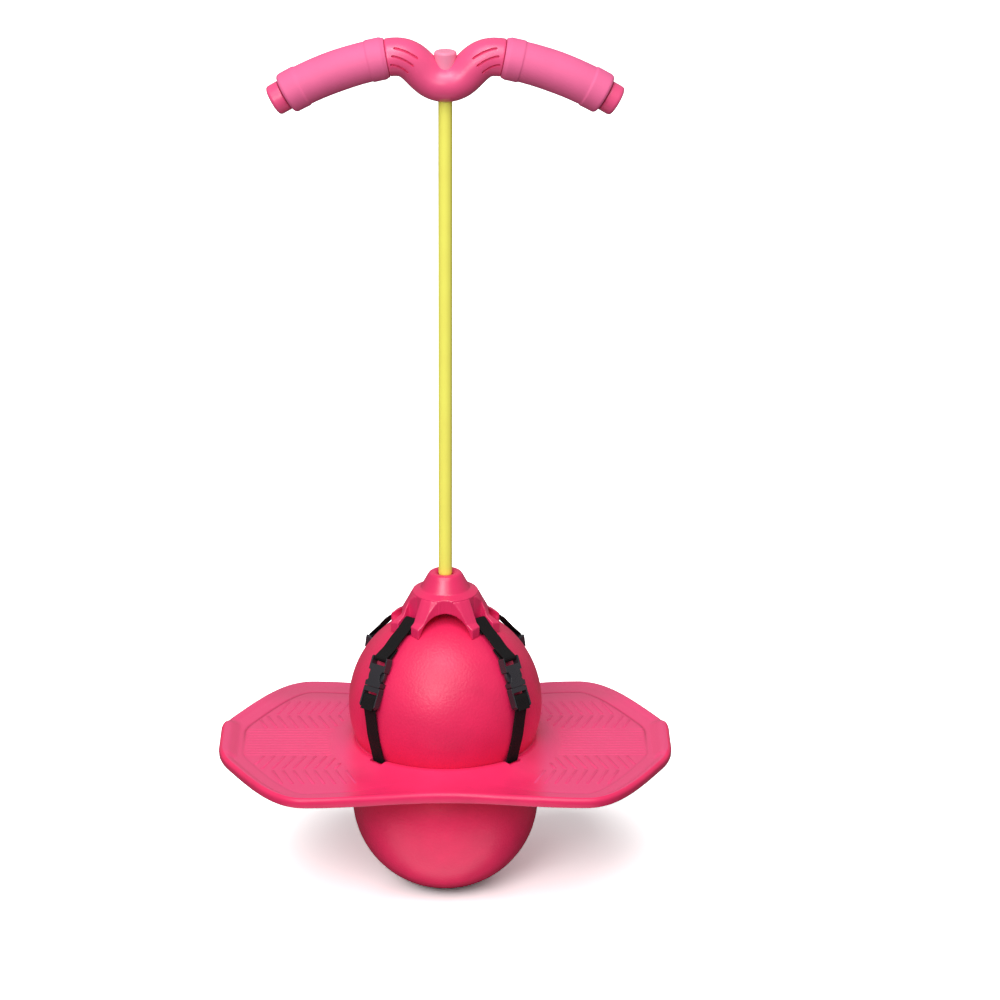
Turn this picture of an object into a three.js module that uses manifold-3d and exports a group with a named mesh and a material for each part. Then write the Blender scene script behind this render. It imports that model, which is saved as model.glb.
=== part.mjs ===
// Pogo ball with a hand rope: a two-lobed ball clamped in a foot plate, a strapped bracket on the ball's top,
// and a rope from the bracket to a gull-wing handle. Millimetres, +Z up, the front of the toy faces -Y.
// The origin is the middle of the handle's saddle, on the rope's axis.
import * as THREE from "three";
import { mergeVertices } from "three/addons/utils/BufferGeometryUtils.js";
import Module from "manifold-3d";

// Fits
const GAP = 0.3;
const BALL_GAP = 0.5;
const ROUND_SEGMENTS = 28;
const SMALL_SEGMENTS = 14;
const BAR_SEGMENTS = 8;

// Ball
const LOWER_LOBE_RADIUS = 93;
const UPPER_LOBE_RADIUS = 96;
const LOBE_SPACING = 103.5;
const BALL_WAIST_RADIUS = 86.5;
const BALL_WALL = 3;
const VALVE_RADIUS = 5;
const VALVE_FLANGE = 3;
const VALVE_DEPTH = 14;
const VALVE_LATITUDE = 20;

// Deck
const DECK_LENGTH = 450;
const DECK_DEPTH = 302;
const DECK_WAIST_DEPTH = 265;
const DECK_LOBE_AT = 0.61;
const DECK_END_WIDTH = 80;
const DECK_END_ANGLE = 25.5;
const DECK_CORNER_EASE = 16;
const DECK_HEIGHT = 10;
const DECK_PLATE = 6.2;
const DECK_WALL = 4;
const DECK_EDGE_ROUND = 4;
const DECK_DROP = 0.2;
const COLLAR_RISE = 7.5;
const COLLAR_SPREAD = 30;
const COLLAR_WALL = 5;
const BORDER_START = 5;
const BORDER_WIDTH = 17;
const FOOT_DISH = 2.6;
const DISH_INNER = 102;
const DISH_FADE = 30;
const LIP_WIDTH = 13;
const LIP_RISE = 3;
const RIB_THICKNESS = 2.4;
const RIB_DEPTH = 3.5;
const FOOT_RIB_SPACING = 44;

// Straps and their pins
const STRAP_WIDTH = 16;
const STRAP_THICKNESS = 1.6;
const STRAP_AZIMUTH = 47;
const STRAP_TILT = 4.5;
const STRAP_SIDE_PLAY = 1.2;
const STRAP_TAIL = 14;
const PIN_RADIUS = 2.5;
const PIN_DROP = 9.5;
const LUG_THICKNESS = 3;

// Buckles
const BUCKLE_LENGTH = 52;
const BUCKLE_WIDTH = 22;
const BUCKLE_THICKNESS = 7.5;
const BUCKLE_WALL = 1.8;
const BUCKLE_LATITUDE = 26;
const REAR_BUCKLE_LATITUDE = 14;
const SOCKET_SHARE = 0.58;
const BUCKLE_BAR_RADIUS = 1.4;
const LATCH_ARM = 2;
const LATCH_TRAVEL = 8;

// Bracket
const BOSS_RISE = 42;
const BOSS_HEIGHT = 16;
const BOSS_TOP_RADIUS = 16.4;
const BOSS_BASE_RADIUS = 24.4;
const LEG_TIP_LATITUDE = 61.5;
const LEG_SLOT_LATITUDE = 70.5;
const LEG_BAR_LATITUDE = 68;
const PRONG_WIDTH = 11;
const LEG_TIP_THICKNESS = 5;
const FRONT_NECK = 31;
const SIDE_NECK = 48;
const BRACKET_BAR_RADIUS = 1.75;

// Rope
const ROPE_RADIUS = 6.75;
const ROPE_LENGTH = 475;
const ROPE_LEAN = 45;
const FERRULE_WALL = 2.2;
const FERRULE_HEIGHT = 14;
const WASHER_THICKNESS = 1.5;
const ROPE_SHELF = 14;

// Handle
const HUB_DROP = 15.9;
const HUB_DEPTH_RATIO = 1.1;
const SHOULDER_RADIUS = 18.2;
const SADDLE_DEPTH = 27.3;
const SADDLE_REACH = 46;
const SADDLE_EASE = 22.2;
const GRIP_START = 54.7;
const GRIP_ARC_RADIUS = 300;
const GRIP_LENGTH = 102.5;
const GRIP_RADIUS = 19.7;
const GRIP_WALL = 6.5;
const GRIP_BAND_RISE = 0.6;
const GRIP_BAND_LENGTH = 17;
const PLUG_RADIUS = 14.4;
const PLUG_REACH = 13;
const PLUG_SPIGOT_RADIUS = 9;
const PLUG_SPIGOT_LENGTH = 18;
const STOP_RADIUS = 10.7;
const STOP_HEIGHT = 22;
const STOP_SEAT = 9;
const SLOT_WIDTH = 1.7;
const SLOT_DEPTH = 2.2;

// Colours
const PINK = 0xf4467c;
const DEEP_PINK = 0xd62a5f;
const SOFT_PINK = 0xf7659d;
const PALE_PINK = 0xf990b4;
const YELLOW = 0xf7e264;
const BLACK = 0x231f24;
const STEEL = 0xb4b8bd;

const wasm = await Module();
wasm.setup();

const radians = THREE.MathUtils.degToRad;
const flat = (x, y) => new THREE.Vector2(x, y);
const space = (x, y, z) => new THREE.Vector3(x, y, z);

// Welds equal corners, drops collapsed triangles and turns every face outward.
function outward(geometry) {
  const bare = geometry.index ? geometry.toNonIndexed() : geometry.clone();
  bare.deleteAttribute("normal");
  bare.deleteAttribute("uv");
  const welded = mergeVertices(bare, 1e-4);
  const corners = welded.attributes.position;
  const kept = [];
  let volume = 0;
  for (let i = 0; i < welded.index.count; i += 3) {
    const [a, b, c] = [0, 1, 2].map((k) => welded.index.getX(i + k));
    if (a === b || b === c || a === c) continue;
    kept.push(a, b, c);
    const [p, q, r] = [a, b, c].map((k) => space().fromBufferAttribute(corners, k));
    volume += p.dot(q.cross(r));
  }
  if (volume < 0) {
    kept.reverse();
  }
  welded.setIndex(kept);
  return welded;
}

function solid(geometry) {
  const body = outward(geometry);
  return new wasm.Manifold(new wasm.Mesh({
    numProp: 3,
    vertProperties: new Float32Array(body.attributes.position.array),
    triVerts: new Uint32Array(body.index.array),
  }));
}

function geometryOf(body) {
  const mesh = body.getMesh();
  const geometry = new THREE.BufferGeometry();
  geometry.setAttribute("position", new THREE.BufferAttribute(new Float32Array(mesh.vertProperties), 3));
  geometry.setIndex(new THREE.BufferAttribute(new Uint32Array(mesh.triVerts), 1));
  return geometry;
}

const join = (first, ...rest) => rest.reduce((body, other) => body.add(other), first);
const cut = (first, ...rest) => rest.reduce((body, other) => body.subtract(other), first);

// Revolves a profile of (radius, height) points about Z.
function lathe(profile, segments = ROUND_SEGMENTS) {
  const points = profile.map(([radius, height]) => flat(radius, height));
  return outward(new THREE.LatheGeometry(points, segments).rotateX(Math.PI / 2));
}

// A straight prism of a flat outline between two heights.
function prism(points, low, high) {
  const options = { depth: high - low, bevelEnabled: false };
  return outward(new THREE.ExtrudeGeometry(new THREE.Shape(points), options).translate(0, 0, low));
}

function box(sizeX, sizeY, sizeZ, x, y, z) {
  return outward(new THREE.BoxGeometry(sizeX, sizeY, sizeZ).translate(x, y, z));
}

// A round bar of a given length along Z, centred on (x, y, z).
function bar(radius, length, x, y, z, segments = SMALL_SEGMENTS) {
  const rod = new THREE.CylinderGeometry(radius, radius, length, segments).rotateX(Math.PI / 2);
  return outward(rod.translate(x, y, z));
}

// A closed skin through rings of equal point counts, with a fan over each end.
function loft(rings) {
  const count = rings[0].length;
  const corners = rings.flat();
  const faces = [];
  for (let i = 0; i + 1 < rings.length; i += 1) {
    for (let j = 0; j < count; j += 1) {
      const next = (j + 1) % count;
      const [a, b] = [i * count + j, i * count + next];
      const [c, d] = [a + count, b + count];
      faces.push(a, b, d, a, d, c);
    }
  }
  const middle = (ring) => ring.reduce((sum, p) => sum.add(p), space()).divideScalar(count);
  const first = corners.push(middle(rings[0])) - 1;
  const last = corners.push(middle(rings[rings.length - 1])) - 1;
  for (let j = 0; j < count; j += 1) {
    const next = (j + 1) % count;
    const top = (rings.length - 1) * count;
    faces.push(first, next, j, last, top + j, top + next);
  }
  const geometry = new THREE.BufferGeometry().setFromPoints(corners);
  geometry.setIndex(faces);
  return outward(geometry);
}

// Moves every corner of a closed outline inward by a distance, square to the outline.
function inset(points, distance) {
  return points.map((point, i) => {
    const before = points[(i + points.length - 1) % points.length];
    const after = points[(i + 1) % points.length];
    const along = point.clone().sub(before).normalize().add(after.clone().sub(point).normalize()).normalize();
    return point.clone().add(flat(-along.y, along.x).multiplyScalar(distance));
  });
}

function arc(centre, radius, fromAngle, toAngle, steps) {
  return Array.from({ length: steps + 1 }, (_, i) => {
    const angle = fromAngle + ((toAngle - fromAngle) * i) / steps;
    return flat(centre.x + radius * Math.cos(angle), centre.y + radius * Math.sin(angle));
  });
}

// Points round a bar, clockwise, from where a straight run from one point meets it to where a run to another leaves.
function wrapped(from, centre, radius, to, steps) {
  const bearing = (point) => Math.atan2(point.y - centre.y, point.x - centre.x);
  const tangent = (point) => Math.acos(radius / point.distanceTo(centre));
  const start = bearing(from) - tangent(from);
  let end = bearing(to) + tangent(to);
  while (end > start) end -= 2 * Math.PI;
  while (end < start - 2 * Math.PI) end += 2 * Math.PI;
  return arc(centre, radius, start, end, steps);
}

const polar = (radius, degrees) => flat(radius * Math.cos(radians(degrees)), radius * Math.sin(radians(degrees)));

// A hollow between three points: a curve from start to end that passes through the middle point.
function hollow(start, through, end, steps) {
  const control = through.clone().multiplyScalar(2).sub(start.clone().add(end).multiplyScalar(0.5));
  return new THREE.QuadraticBezierCurve(start, control, end).getPoints(steps);
}

const plastic = (colour, roughness) => new THREE.MeshStandardMaterial({ color: colour, roughness, metalness: 0 });
const pinkPlastic = plastic(PINK, 0.35);
pinkPlastic.name = "pink_plastic";
const palePlastic = plastic(PALE_PINK, 0.4);
palePlastic.name = "pale_plastic";
const ballRubber = plastic(DEEP_PINK, 0.3);
ballRubber.name = "ball_rubber";
const gripFoam = plastic(SOFT_PINK, 0.75);
gripFoam.name = "grip_foam";
const ropeRubber = plastic(YELLOW, 0.5);
ropeRubber.name = "rope_rubber";
const webbing = plastic(BLACK, 0.85);
webbing.name = "webbing";
const blackPlastic = plastic(BLACK, 0.45);
blackPlastic.name = "black_plastic";
const steel = new THREE.MeshStandardMaterial({ color: STEEL, roughness: 0.35, metalness: 1 });
steel.name = "steel";

function add(parent, name, geometry, material) {
  const body = outward(geometry);
  body.computeVertexNormals();
  const mesh = new THREE.Mesh(body, material);
  mesh.name = name;
  parent.add(mesh);
  return mesh;
}

// Heights that follow from the sizes above, from the ball's lowest point up.
const LOWER_CENTRE = LOWER_LOBE_RADIUS;
const UPPER_CENTRE = LOWER_CENTRE + LOBE_SPACING;
const lobeHalfChord = (lobeRadius) => Math.sqrt(lobeRadius ** 2 - BALL_WAIST_RADIUS ** 2);
const WAIST_TOP = UPPER_CENTRE - lobeHalfChord(UPPER_LOBE_RADIUS);
const DECK_TOP = WAIST_TOP - DECK_DROP;
const DECK_BOTTOM = DECK_TOP - DECK_HEIGHT;
const BOSS_TOP = UPPER_CENTRE + UPPER_LOBE_RADIUS + BOSS_RISE;
const HANDLE_CENTRE = BOSS_TOP + ROPE_LENGTH + HUB_DROP;
const WASHER_RADIUS = STOP_RADIUS;
const ROPE_BORE = ROPE_RADIUS + 1.5 * GAP;
const ROPE_MOUTH = ROPE_RADIUS / Math.cos(radians(ROPE_LEAN)) + 1.5 * GAP;
const MOUTH_DEPTH = ROPE_RADIUS * Math.tan(radians(ROPE_LEAN / 2)) + 1.5 * GAP;

const toy = new THREE.Group();
toy.position.z = -HANDLE_CENTRE;

// Two-lobed outline of the ball, moved inward by a distance, from its lowest point to its highest.
function ballProfile(inward, steps) {
  const [lower, upper] = [LOWER_LOBE_RADIUS - inward, UPPER_LOBE_RADIUS - inward];
  const neck = BALL_WAIST_RADIUS - inward;
  const lowerEnd = Math.acos(neck / lower);
  const upperStart = -Math.acos(neck / upper);
  const quarter = Math.PI / 2;
  const below = arc(flat(0, LOWER_CENTRE), lower, -quarter, lowerEnd, steps);
  const above = arc(flat(0, UPPER_CENTRE), upper, upperStart, quarter, steps);
  return [...below, ...above].map((p) => [Math.max(p.x, 0), p.y]);
}

// Turns something modelled upright so that it stands on the ball's rear at the valve's latitude.
function onValveAxis(geometry) {
  return geometry.rotateX(radians(VALVE_LATITUDE - 90)).translate(0, 0, UPPER_CENTRE);
}

const valveBore = onValveAxis(bar(VALVE_RADIUS + GAP, 2 * BALL_WALL + 4, 0, 0, UPPER_LOBE_RADIUS - BALL_WALL / 2));
const ballSolid = cut(solid(lathe(ballProfile(0, 10))), solid(lathe(ballProfile(BALL_WALL, 7))), solid(valveBore));
add(toy, "ball", geometryOf(ballSolid), ballRubber);

// The valve is a soft plug held by a flange inside the wall.
const valveInner = UPPER_LOBE_RADIUS - BALL_WALL - 6 * GAP;
const valveBody = onValveAxis(lathe([
  [0, valveInner - VALVE_DEPTH],
  [VALVE_RADIUS, valveInner - VALVE_DEPTH],
  [VALVE_RADIUS, valveInner - VALVE_FLANGE],
  [VALVE_RADIUS + VALVE_FLANGE, valveInner - VALVE_FLANGE],
  [VALVE_RADIUS + VALVE_FLANGE, valveInner - GAP],
  [VALVE_RADIUS, valveInner],
  [VALVE_RADIUS, UPPER_LOBE_RADIUS - 0.6],
  [VALVE_RADIUS - 0.8, UPPER_LOBE_RADIUS],
  [0, UPPER_LOBE_RADIUS],
], SMALL_SEGMENTS));
add(toy, "ball_valve", valveBody, ballRubber);

// Each strap lies in a plane through the upper lobe's centre: local X outward, local Y up, local Z across the strap.
const corners = [
  ["front_left", -1, -1],
  ["front_right", 1, -1],
  ["rear_left", -1, 1],
  ["rear_right", 1, 1],
];

function cornerFrame(sideX, sideY) {
  const [azimuth, tilt] = [radians(STRAP_AZIMUTH), radians(STRAP_TILT)];
  const out = space(sideX * Math.sin(azimuth), sideY * Math.cos(azimuth), 0);
  const lean = space(sideX * Math.cos(azimuth), -sideY * Math.sin(azimuth), 0);
  const up = space(0, 0, Math.cos(tilt)).addScaledVector(lean, Math.sin(tilt));
  return new THREE.Matrix4().makeBasis(out, up, out.clone().cross(up)).setPosition(0, 0, UPPER_CENTRE);
}

const atCorner = (geometry, sideX, sideY) => geometry.clone().applyMatrix4(cornerFrame(sideX, sideY));

// A height in the toy's frame as a distance along a strap plane's tilted local Y.
const planeHeight = (height) => (height - UPPER_CENTRE) / Math.cos(radians(STRAP_TILT));

// Sizes that straps, buckles, bracket and deck share.
const STRAP_SLOT = STRAP_WIDTH + 2 * STRAP_SIDE_PLAY;
const loopRadius = (barRadius) => barRadius + GAP + STRAP_THICKNESS / 2;
const STRAP_ON_BALL = UPPER_LOBE_RADIUS + BALL_GAP + STRAP_THICKNESS / 2;
const BUCKLE_CENTRE = UPPER_LOBE_RADIUS + BALL_GAP + BUCKLE_THICKNESS / 2;
const PIN_CENTRE = flat(BALL_WAIST_RADIUS + 2 * BALL_GAP + PIN_RADIUS + GAP + 1.5 * STRAP_THICKNESS,
  planeHeight(DECK_TOP - PIN_DROP));
const NOTCH_REACH = PIN_CENTRE.x + PIN_RADIUS + STRAP_THICKNESS;

// Plan outline of the deck: square-cut ends, two broad foot lobes on each long side and a shallow waist between.
function deckOutline() {
  const [halfLength, halfDepth, halfWaist] = [DECK_LENGTH / 2, DECK_DEPTH / 2, DECK_WAIST_DEPTH / 2];
  const halfEnd = DECK_END_WIDTH / 2;
  const lobeX = DECK_LOBE_AT * halfLength;
  const slope = radians(DECK_END_ANGLE);
  const reach = 0.55 * (halfDepth - halfEnd);
  const endCorner = flat(halfLength, halfEnd);
  const endControl = flat(halfLength - reach * Math.sin(slope), halfEnd + reach * Math.cos(slope));
  const lobeControl = flat(lobeX + 0.44 * (halfLength - lobeX), halfDepth);
  const lobe = flat(lobeX, halfDepth);
  const shoulder = new THREE.CubicBezierCurve(endCorner, endControl, lobeControl, lobe).getPoints(8);
  const sway = new THREE.CubicBezierCurve(
    lobe, flat(0.6 * lobeX, halfDepth), flat(0.4 * lobeX, halfWaist), flat(0, halfWaist)).getPoints(5);
  const cornerEase = new THREE.QuadraticBezierCurve(
    flat(halfLength, halfEnd - DECK_CORNER_EASE), endCorner, shoulder[1]).getPoints(3);
  const quarter = [...cornerEase, ...shoulder.slice(2), ...sway.slice(1)];
  const mirrored = (list, x, y) => list.map((p) => flat(p.x * x, p.y * y));
  const half = [...quarter, ...mirrored(quarter.slice(0, -1).reverse(), -1, 1)];
  return [...half, ...mirrored(half, -1, -1)].filter((p, i, all) => p.distanceTo(all.at(i - 1)) > 1e-6);
}

const outline = deckOutline();
const atHeight = (points, height) => points.map((p) => space(p.x, p.y, height));

// A plate of the deck's outline with a rounded upper edge.
function roundedPlate(points, low, high, round, chamfer) {
  const rings = [atHeight(inset(points, chamfer), low), atHeight(points, low + chamfer)];
  for (let i = 0; i <= 2; i += 1) {
    const angle = (i / 2) * (Math.PI / 2);
    rings.push(atHeight(inset(points, round * (1 - Math.cos(angle))), high - round + round * Math.sin(angle)));
  }
  return loft(rings);
}

// The deck is one moulding: a rimmed plate with a swept collar round the ball, dished foot areas and ribs below.
function deckGeometry() {
  const slab = solid(roundedPlate(outline, DECK_BOTTOM, DECK_TOP, DECK_EDGE_ROUND, 1));
  const collarInner = BALL_WAIST_RADIUS + BALL_GAP;
  const collarOuter = collarInner + COLLAR_SPREAD;
  const wallOuter = collarInner + COLLAR_WALL;
  const collarTop = DECK_TOP + COLLAR_RISE;
  const deepInside = BALL_WAIST_RADIUS - 8;
  const lipRadius = wallOuter + 3.5;
  const sweep = [0.25, 0.5, 0.75].map((t) => [
    lipRadius + (collarOuter - lipRadius) * t,
    DECK_TOP - FOOT_DISH + (COLLAR_RISE + FOOT_DISH) * (1 - t) ** 2,
  ]);
  const collar = solid(lathe([
    [deepInside, DECK_BOTTOM],
    [wallOuter, DECK_BOTTOM],
    [wallOuter, DECK_TOP - DECK_PLATE],
    [collarOuter, DECK_TOP - DECK_PLATE],
    [collarOuter, DECK_TOP - FOOT_DISH - 0.2],
    ...sweep.reverse(),
    [lipRadius, collarTop - 0.6],
    [lipRadius - 2, collarTop],
    [deepInside, collarTop],
    [deepInside, DECK_BOTTOM],
  ]));
  const below = DECK_BOTTOM - 1;
  const ceiling = DECK_TOP - DECK_PLATE;
  const innerWall = inset(outline, DECK_WALL);
  const collarCore = solid(bar(wallOuter - 0.5, 3 * DECK_HEIGHT, 0, 0, DECK_BOTTOM, ROUND_SEGMENTS));
  const pocket = cut(solid(prism(innerWall, below, ceiling)), collarCore);

  // Ribs: a lattice under each foot area and spokes from the collar to the rim.
  const ribHeight = RIB_DEPTH + 0.5;
  const ribMiddle = ceiling - RIB_DEPTH + ribHeight / 2;
  const footStart = collarInner + 18;
  const ribs = [];
  for (const side of [-1, 1]) {
    const reach = DECK_LENGTH / 2 - footStart;
    for (let i = -1; i <= 1; i += 1) {
      const middle = side * (footStart + reach / 2);
      ribs.push(solid(box(reach, RIB_THICKNESS, ribHeight, middle, i * FOOT_RIB_SPACING, ribMiddle)));
    }
    for (let i = 0; i <= 1; i += 1) {
      const x = side * (footStart + (i + 0.2) * FOOT_RIB_SPACING);
      ribs.push(solid(box(RIB_THICKNESS, DECK_DEPTH, ribHeight, x, 0, ribMiddle)));
    }
    for (const turn of [-22, 0, 22]) {
      const middle = wallOuter + DECK_DEPTH / 4;
      const spoke = box(RIB_THICKNESS, DECK_DEPTH / 2, ribHeight, 0, side * middle, ribMiddle);
      ribs.push(solid(spoke.rotateZ(radians(turn))));
    }
  }
  const ribClip = cut(solid(prism(inset(outline, DECK_WALL - 0.5), below, DECK_TOP - DECK_PLATE / 2)), collarCore);
  const lattice = join(...ribs).intersect(ribClip);

  // Dished foot areas inside a sloping border, fading out towards the middle, and a raised lip along each end.
  const dishFloor = DECK_TOP - FOOT_DISH;
  const above = DECK_TOP + DECK_HEIGHT;
  const dish = solid(loft([
    atHeight(inset(outline, BORDER_START + BORDER_WIDTH), dishFloor),
    atHeight(inset(outline, BORDER_START), DECK_TOP),
    atHeight(inset(outline, BORDER_START), above),
  ]));
  const dishTop = DISH_INNER - DISH_FADE;
  const middle = prism([
    flat(-DISH_INNER, dishFloor - 1),
    flat(DISH_INNER, dishFloor - 1),
    flat(DISH_INNER, dishFloor),
    flat(dishTop, DECK_TOP),
    flat(dishTop, above + 1),
    flat(-dishTop, above + 1),
    flat(-dishTop, DECK_TOP),
    flat(-DISH_INNER, dishFloor),
  ], -DECK_DEPTH, DECK_DEPTH).rotateX(Math.PI / 2);
  const footAreas = cut(dish, solid(middle));
  const lipPlate = solid(roundedPlate(inset(outline, 0.6), DECK_TOP - 6, DECK_TOP + LIP_RISE, 3, 0.5));
  const lips = [-1, 1].map((side) => {
    const edge = solid(box(2 * LIP_WIDTH, DECK_END_WIDTH + 10, 60, side * DECK_LENGTH / 2, 0, DECK_TOP));
    return lipPlate.intersect(edge);
  });

  // Lugs for the strap pins, and the notch in the collar that each lower strap passes through.
  const lugs = [];
  const openings = [];
  const lugTop = planeHeight(ceiling + 1);
  const lugBottom = PIN_CENTRE.y - PIN_RADIUS - 2.5;
  const lugInner = BALL_WAIST_RADIUS + 2 * BALL_GAP + 1;
  const lugOuter = PIN_CENTRE.x + PIN_RADIUS + 2.5;
  for (const [, sideX, sideY] of corners) {
    for (const side of [-1, 1]) {
      const across = side * (STRAP_SLOT / 2 + LUG_THICKNESS / 2);
      const lug = box(lugOuter - lugInner, lugTop - lugBottom, LUG_THICKNESS,
        (lugOuter + lugInner) / 2, (lugTop + lugBottom) / 2, across);
      lugs.push(solid(atCorner(lug, sideX, sideY)));
    }
    const notchHeight = 60;
    const notch = box(40, notchHeight, STRAP_SLOT, NOTCH_REACH - 20, planeHeight(DECK_TOP), 0);
    const pinHole = bar(PIN_RADIUS + GAP, STRAP_SLOT + 4 * LUG_THICKNESS, PIN_CENTRE.x, PIN_CENTRE.y, 0);
    openings.push(solid(atCorner(notch, sideX, sideY)), solid(atCorner(pinHole, sideX, sideY)));
  }
  const throat = solid(lathe(ballProfile(-BALL_GAP, 10)));
  const tray = cut(join(cut(slab, footAreas), collar), pocket);
  return geometryOf(cut(join(tray, lattice, ...lugs, ...lips), throat, ...openings));
}

add(toy, "deck", deckGeometry(), pinkPlastic);

// A flat strap in its plane: the path thickened on both sides and carried across the strap's width.
function strap(path) {
  const half = STRAP_THICKNESS / 2;
  const sides = path.map((point, i) => {
    const before = path[Math.max(i - 1, 0)];
    const after = path[Math.min(i + 1, path.length - 1)];
    const along = after.clone().sub(before).normalize();
    return flat(-along.y, along.x).multiplyScalar(half);
  });
  const left = path.map((p, i) => p.clone().add(sides[i]));
  const right = path.map((p, i) => p.clone().sub(sides[i])).reverse();
  return prism([...left, ...right], -STRAP_WIDTH / 2, STRAP_WIDTH / 2);
}

// Points of the buckle's own frame (x off the ball, y up the strap) in the strap plane.
function fromBuckle(latitude, x, y) {
  return flat(BUCKLE_CENTRE + x, y).rotateAround(flat(0, 0), radians(latitude));
}

const SOCKET_TOP = BUCKLE_LENGTH / 2;
const SOCKET_MOUTH = SOCKET_TOP - SOCKET_SHARE * BUCKLE_LENGTH;
const PLUG_TOP = SOCKET_MOUTH - GAP;
const PLUG_BOTTOM = -BUCKLE_LENGTH / 2;
const SOCKET_BAR = SOCKET_TOP - BUCKLE_BAR_RADIUS;
const PLUG_END_BAR = PLUG_BOTTOM + BUCKLE_BAR_RADIUS;
const PLUG_CROSS_BAR = PLUG_BOTTOM + 0.5 * (PLUG_TOP - PLUG_BOTTOM) + 0.5;

// Upper strap: sewn round the bar in the bracket's leg, over to the socket's bar, and sewn round that.
function upperStrap(latitude) {
  const legRadius = loopRadius(BRACKET_BAR_RADIUS);
  const legBar = polar(UPPER_LOBE_RADIUS + BALL_GAP + STRAP_THICKNESS + GAP + legRadius, LEG_BAR_LATITUDE);
  const socketRadius = loopRadius(BUCKLE_BAR_RADIUS);
  const socketBar = fromBuckle(latitude, 0, SOCKET_BAR);
  const tailTurn = THREE.MathUtils.radToDeg(STRAP_TAIL / STRAP_ON_BALL);
  const socketAngle = THREE.MathUtils.radToDeg(socketBar.angle());
  const run = STRAP_ON_BALL + 2 * STRAP_THICKNESS;
  const middle = (LEG_BAR_LATITUDE + socketAngle) / 2;
  const legTail = polar(run - STRAP_THICKNESS - 2 * GAP, Math.max(LEG_BAR_LATITUDE - tailTurn, middle + 3));
  const socketTail = polar(run - STRAP_THICKNESS - 2 * GAP, Math.min(socketAngle + tailTurn, middle - 3));
  const runStart = polar(run + 0.5, (LEG_BAR_LATITUDE + middle) / 2);
  const runEnd = polar(run + 0.9, (socketAngle + middle) / 2);
  return [
    legTail,
    ...wrapped(legTail, legBar, legRadius, runStart, 7),
    runStart,
    polar(run + 0.3, middle),
    runEnd,
    ...wrapped(runEnd, socketBar, socketRadius, socketTail, 7),
    socketTail,
  ];
}

// Lower strap: from the pin under the deck, up through the collar's notch and over the plug's cross bar.
function lowerStrap(latitude) {
  const pinRadius = loopRadius(PIN_RADIUS);
  const barRadius = loopRadius(BUCKLE_BAR_RADIUS);
  const crossBar = fromBuckle(latitude, 0, PLUG_CROSS_BAR);
  const underBar = fromBuckle(latitude, -barRadius, PLUG_BOTTOM - 1);
  const startAngle = -8;
  const leave = polar(STRAP_ON_BALL + 0.4, startAngle);
  const tail = flat(PIN_CENTRE.x + 0.35 * pinRadius, PIN_CENTRE.y + 2.4 * pinRadius);
  const freeTail = fromBuckle(latitude, barRadius, PLUG_BOTTOM - 1.5);
  return [
    tail,
    ...wrapped(tail, PIN_CENTRE, pinRadius, leave, 7),
    leave,
    polar(STRAP_ON_BALL + 0.6, startAngle + 3),
    underBar,
    ...wrapped(underBar, crossBar, barRadius, freeTail, 7),
    freeTail,
  ];
}

// Everything of the buckle is drawn flat in (across, along) and carried through its thickness.
function buckleSheet(points, thickness) {
  return prism(points, -thickness / 2, thickness / 2).rotateY(Math.PI / 2);
}

const buckleBlock = (across, low, high, thickness, z = 0) =>
  box(thickness, high - low, across, 0, (low + high) / 2, z);

const LATCH_HINGE = flat(0.29 * BUCKLE_WIDTH, PLUG_TOP - 1.2);
const LATCH_KNUCKLE = 1.3;
const CAVITY_HALF = BUCKLE_WIDTH / 2 - BUCKLE_WALL;
const CAVITY_THICKNESS = BUCKLE_THICKNESS - 2 * BUCKLE_WALL;
const WINDOW_LOW = SOCKET_MOUTH + 5.5;
const WINDOW_HIGH = SOCKET_MOUTH + 16;
const CAVITY_TOP = WINDOW_HIGH + 4.5;

// Socket half: a flat sleeve with open side windows and a round bar for the upper strap.
function socketGeometry() {
  const half = BUCKLE_WIDTH / 2;
  const body = buckleSheet([
    flat(half - 1.2, SOCKET_MOUTH),
    flat(half - 0.4, SOCKET_MOUTH + 1.2),
    flat(half, WINDOW_HIGH),
    flat(half, SOCKET_TOP - 1.2),
    flat(half - 1.2, SOCKET_TOP),
    flat(1.2 - half, SOCKET_TOP),
    flat(-half, SOCKET_TOP - 1.2),
    flat(-half, WINDOW_HIGH),
    flat(0.4 - half, SOCKET_MOUTH + 1.2),
    flat(1.2 - half, SOCKET_MOUTH),
  ], BUCKLE_THICKNESS);
  const cavity = buckleBlock(2 * CAVITY_HALF, SOCKET_MOUTH - 1, CAVITY_TOP, CAVITY_THICKNESS);
  const windows = [-1, 1].map((side) => buckleSheet([
    flat(side * (half + 1), WINDOW_LOW - 1),
    flat(side * (half + 1), WINDOW_HIGH),
    flat(side * (CAVITY_HALF - 0.6), WINDOW_HIGH),
    flat(side * (CAVITY_HALF - 2.4), (2 * WINDOW_HIGH + WINDOW_LOW) / 3),
    flat(side * (CAVITY_HALF - 2.4), (WINDOW_HIGH + 2 * WINDOW_LOW) / 3),
    flat(side * (CAVITY_HALF - 0.6), WINDOW_LOW),
  ], 2 * BUCKLE_THICKNESS));
  const strapSlot = buckleBlock(STRAP_SLOT, CAVITY_TOP + 1.6, SOCKET_TOP + 1, 2 * BUCKLE_THICKNESS);
  const strapBar = bar(BUCKLE_BAR_RADIUS, STRAP_SLOT + 1, 0, SOCKET_BAR, 0, BAR_SEGMENTS);
  return geometryOf(join(cut(solid(body), solid(cavity), ...windows.map(solid), solid(strapSlot)), solid(strapBar)));
}

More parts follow.
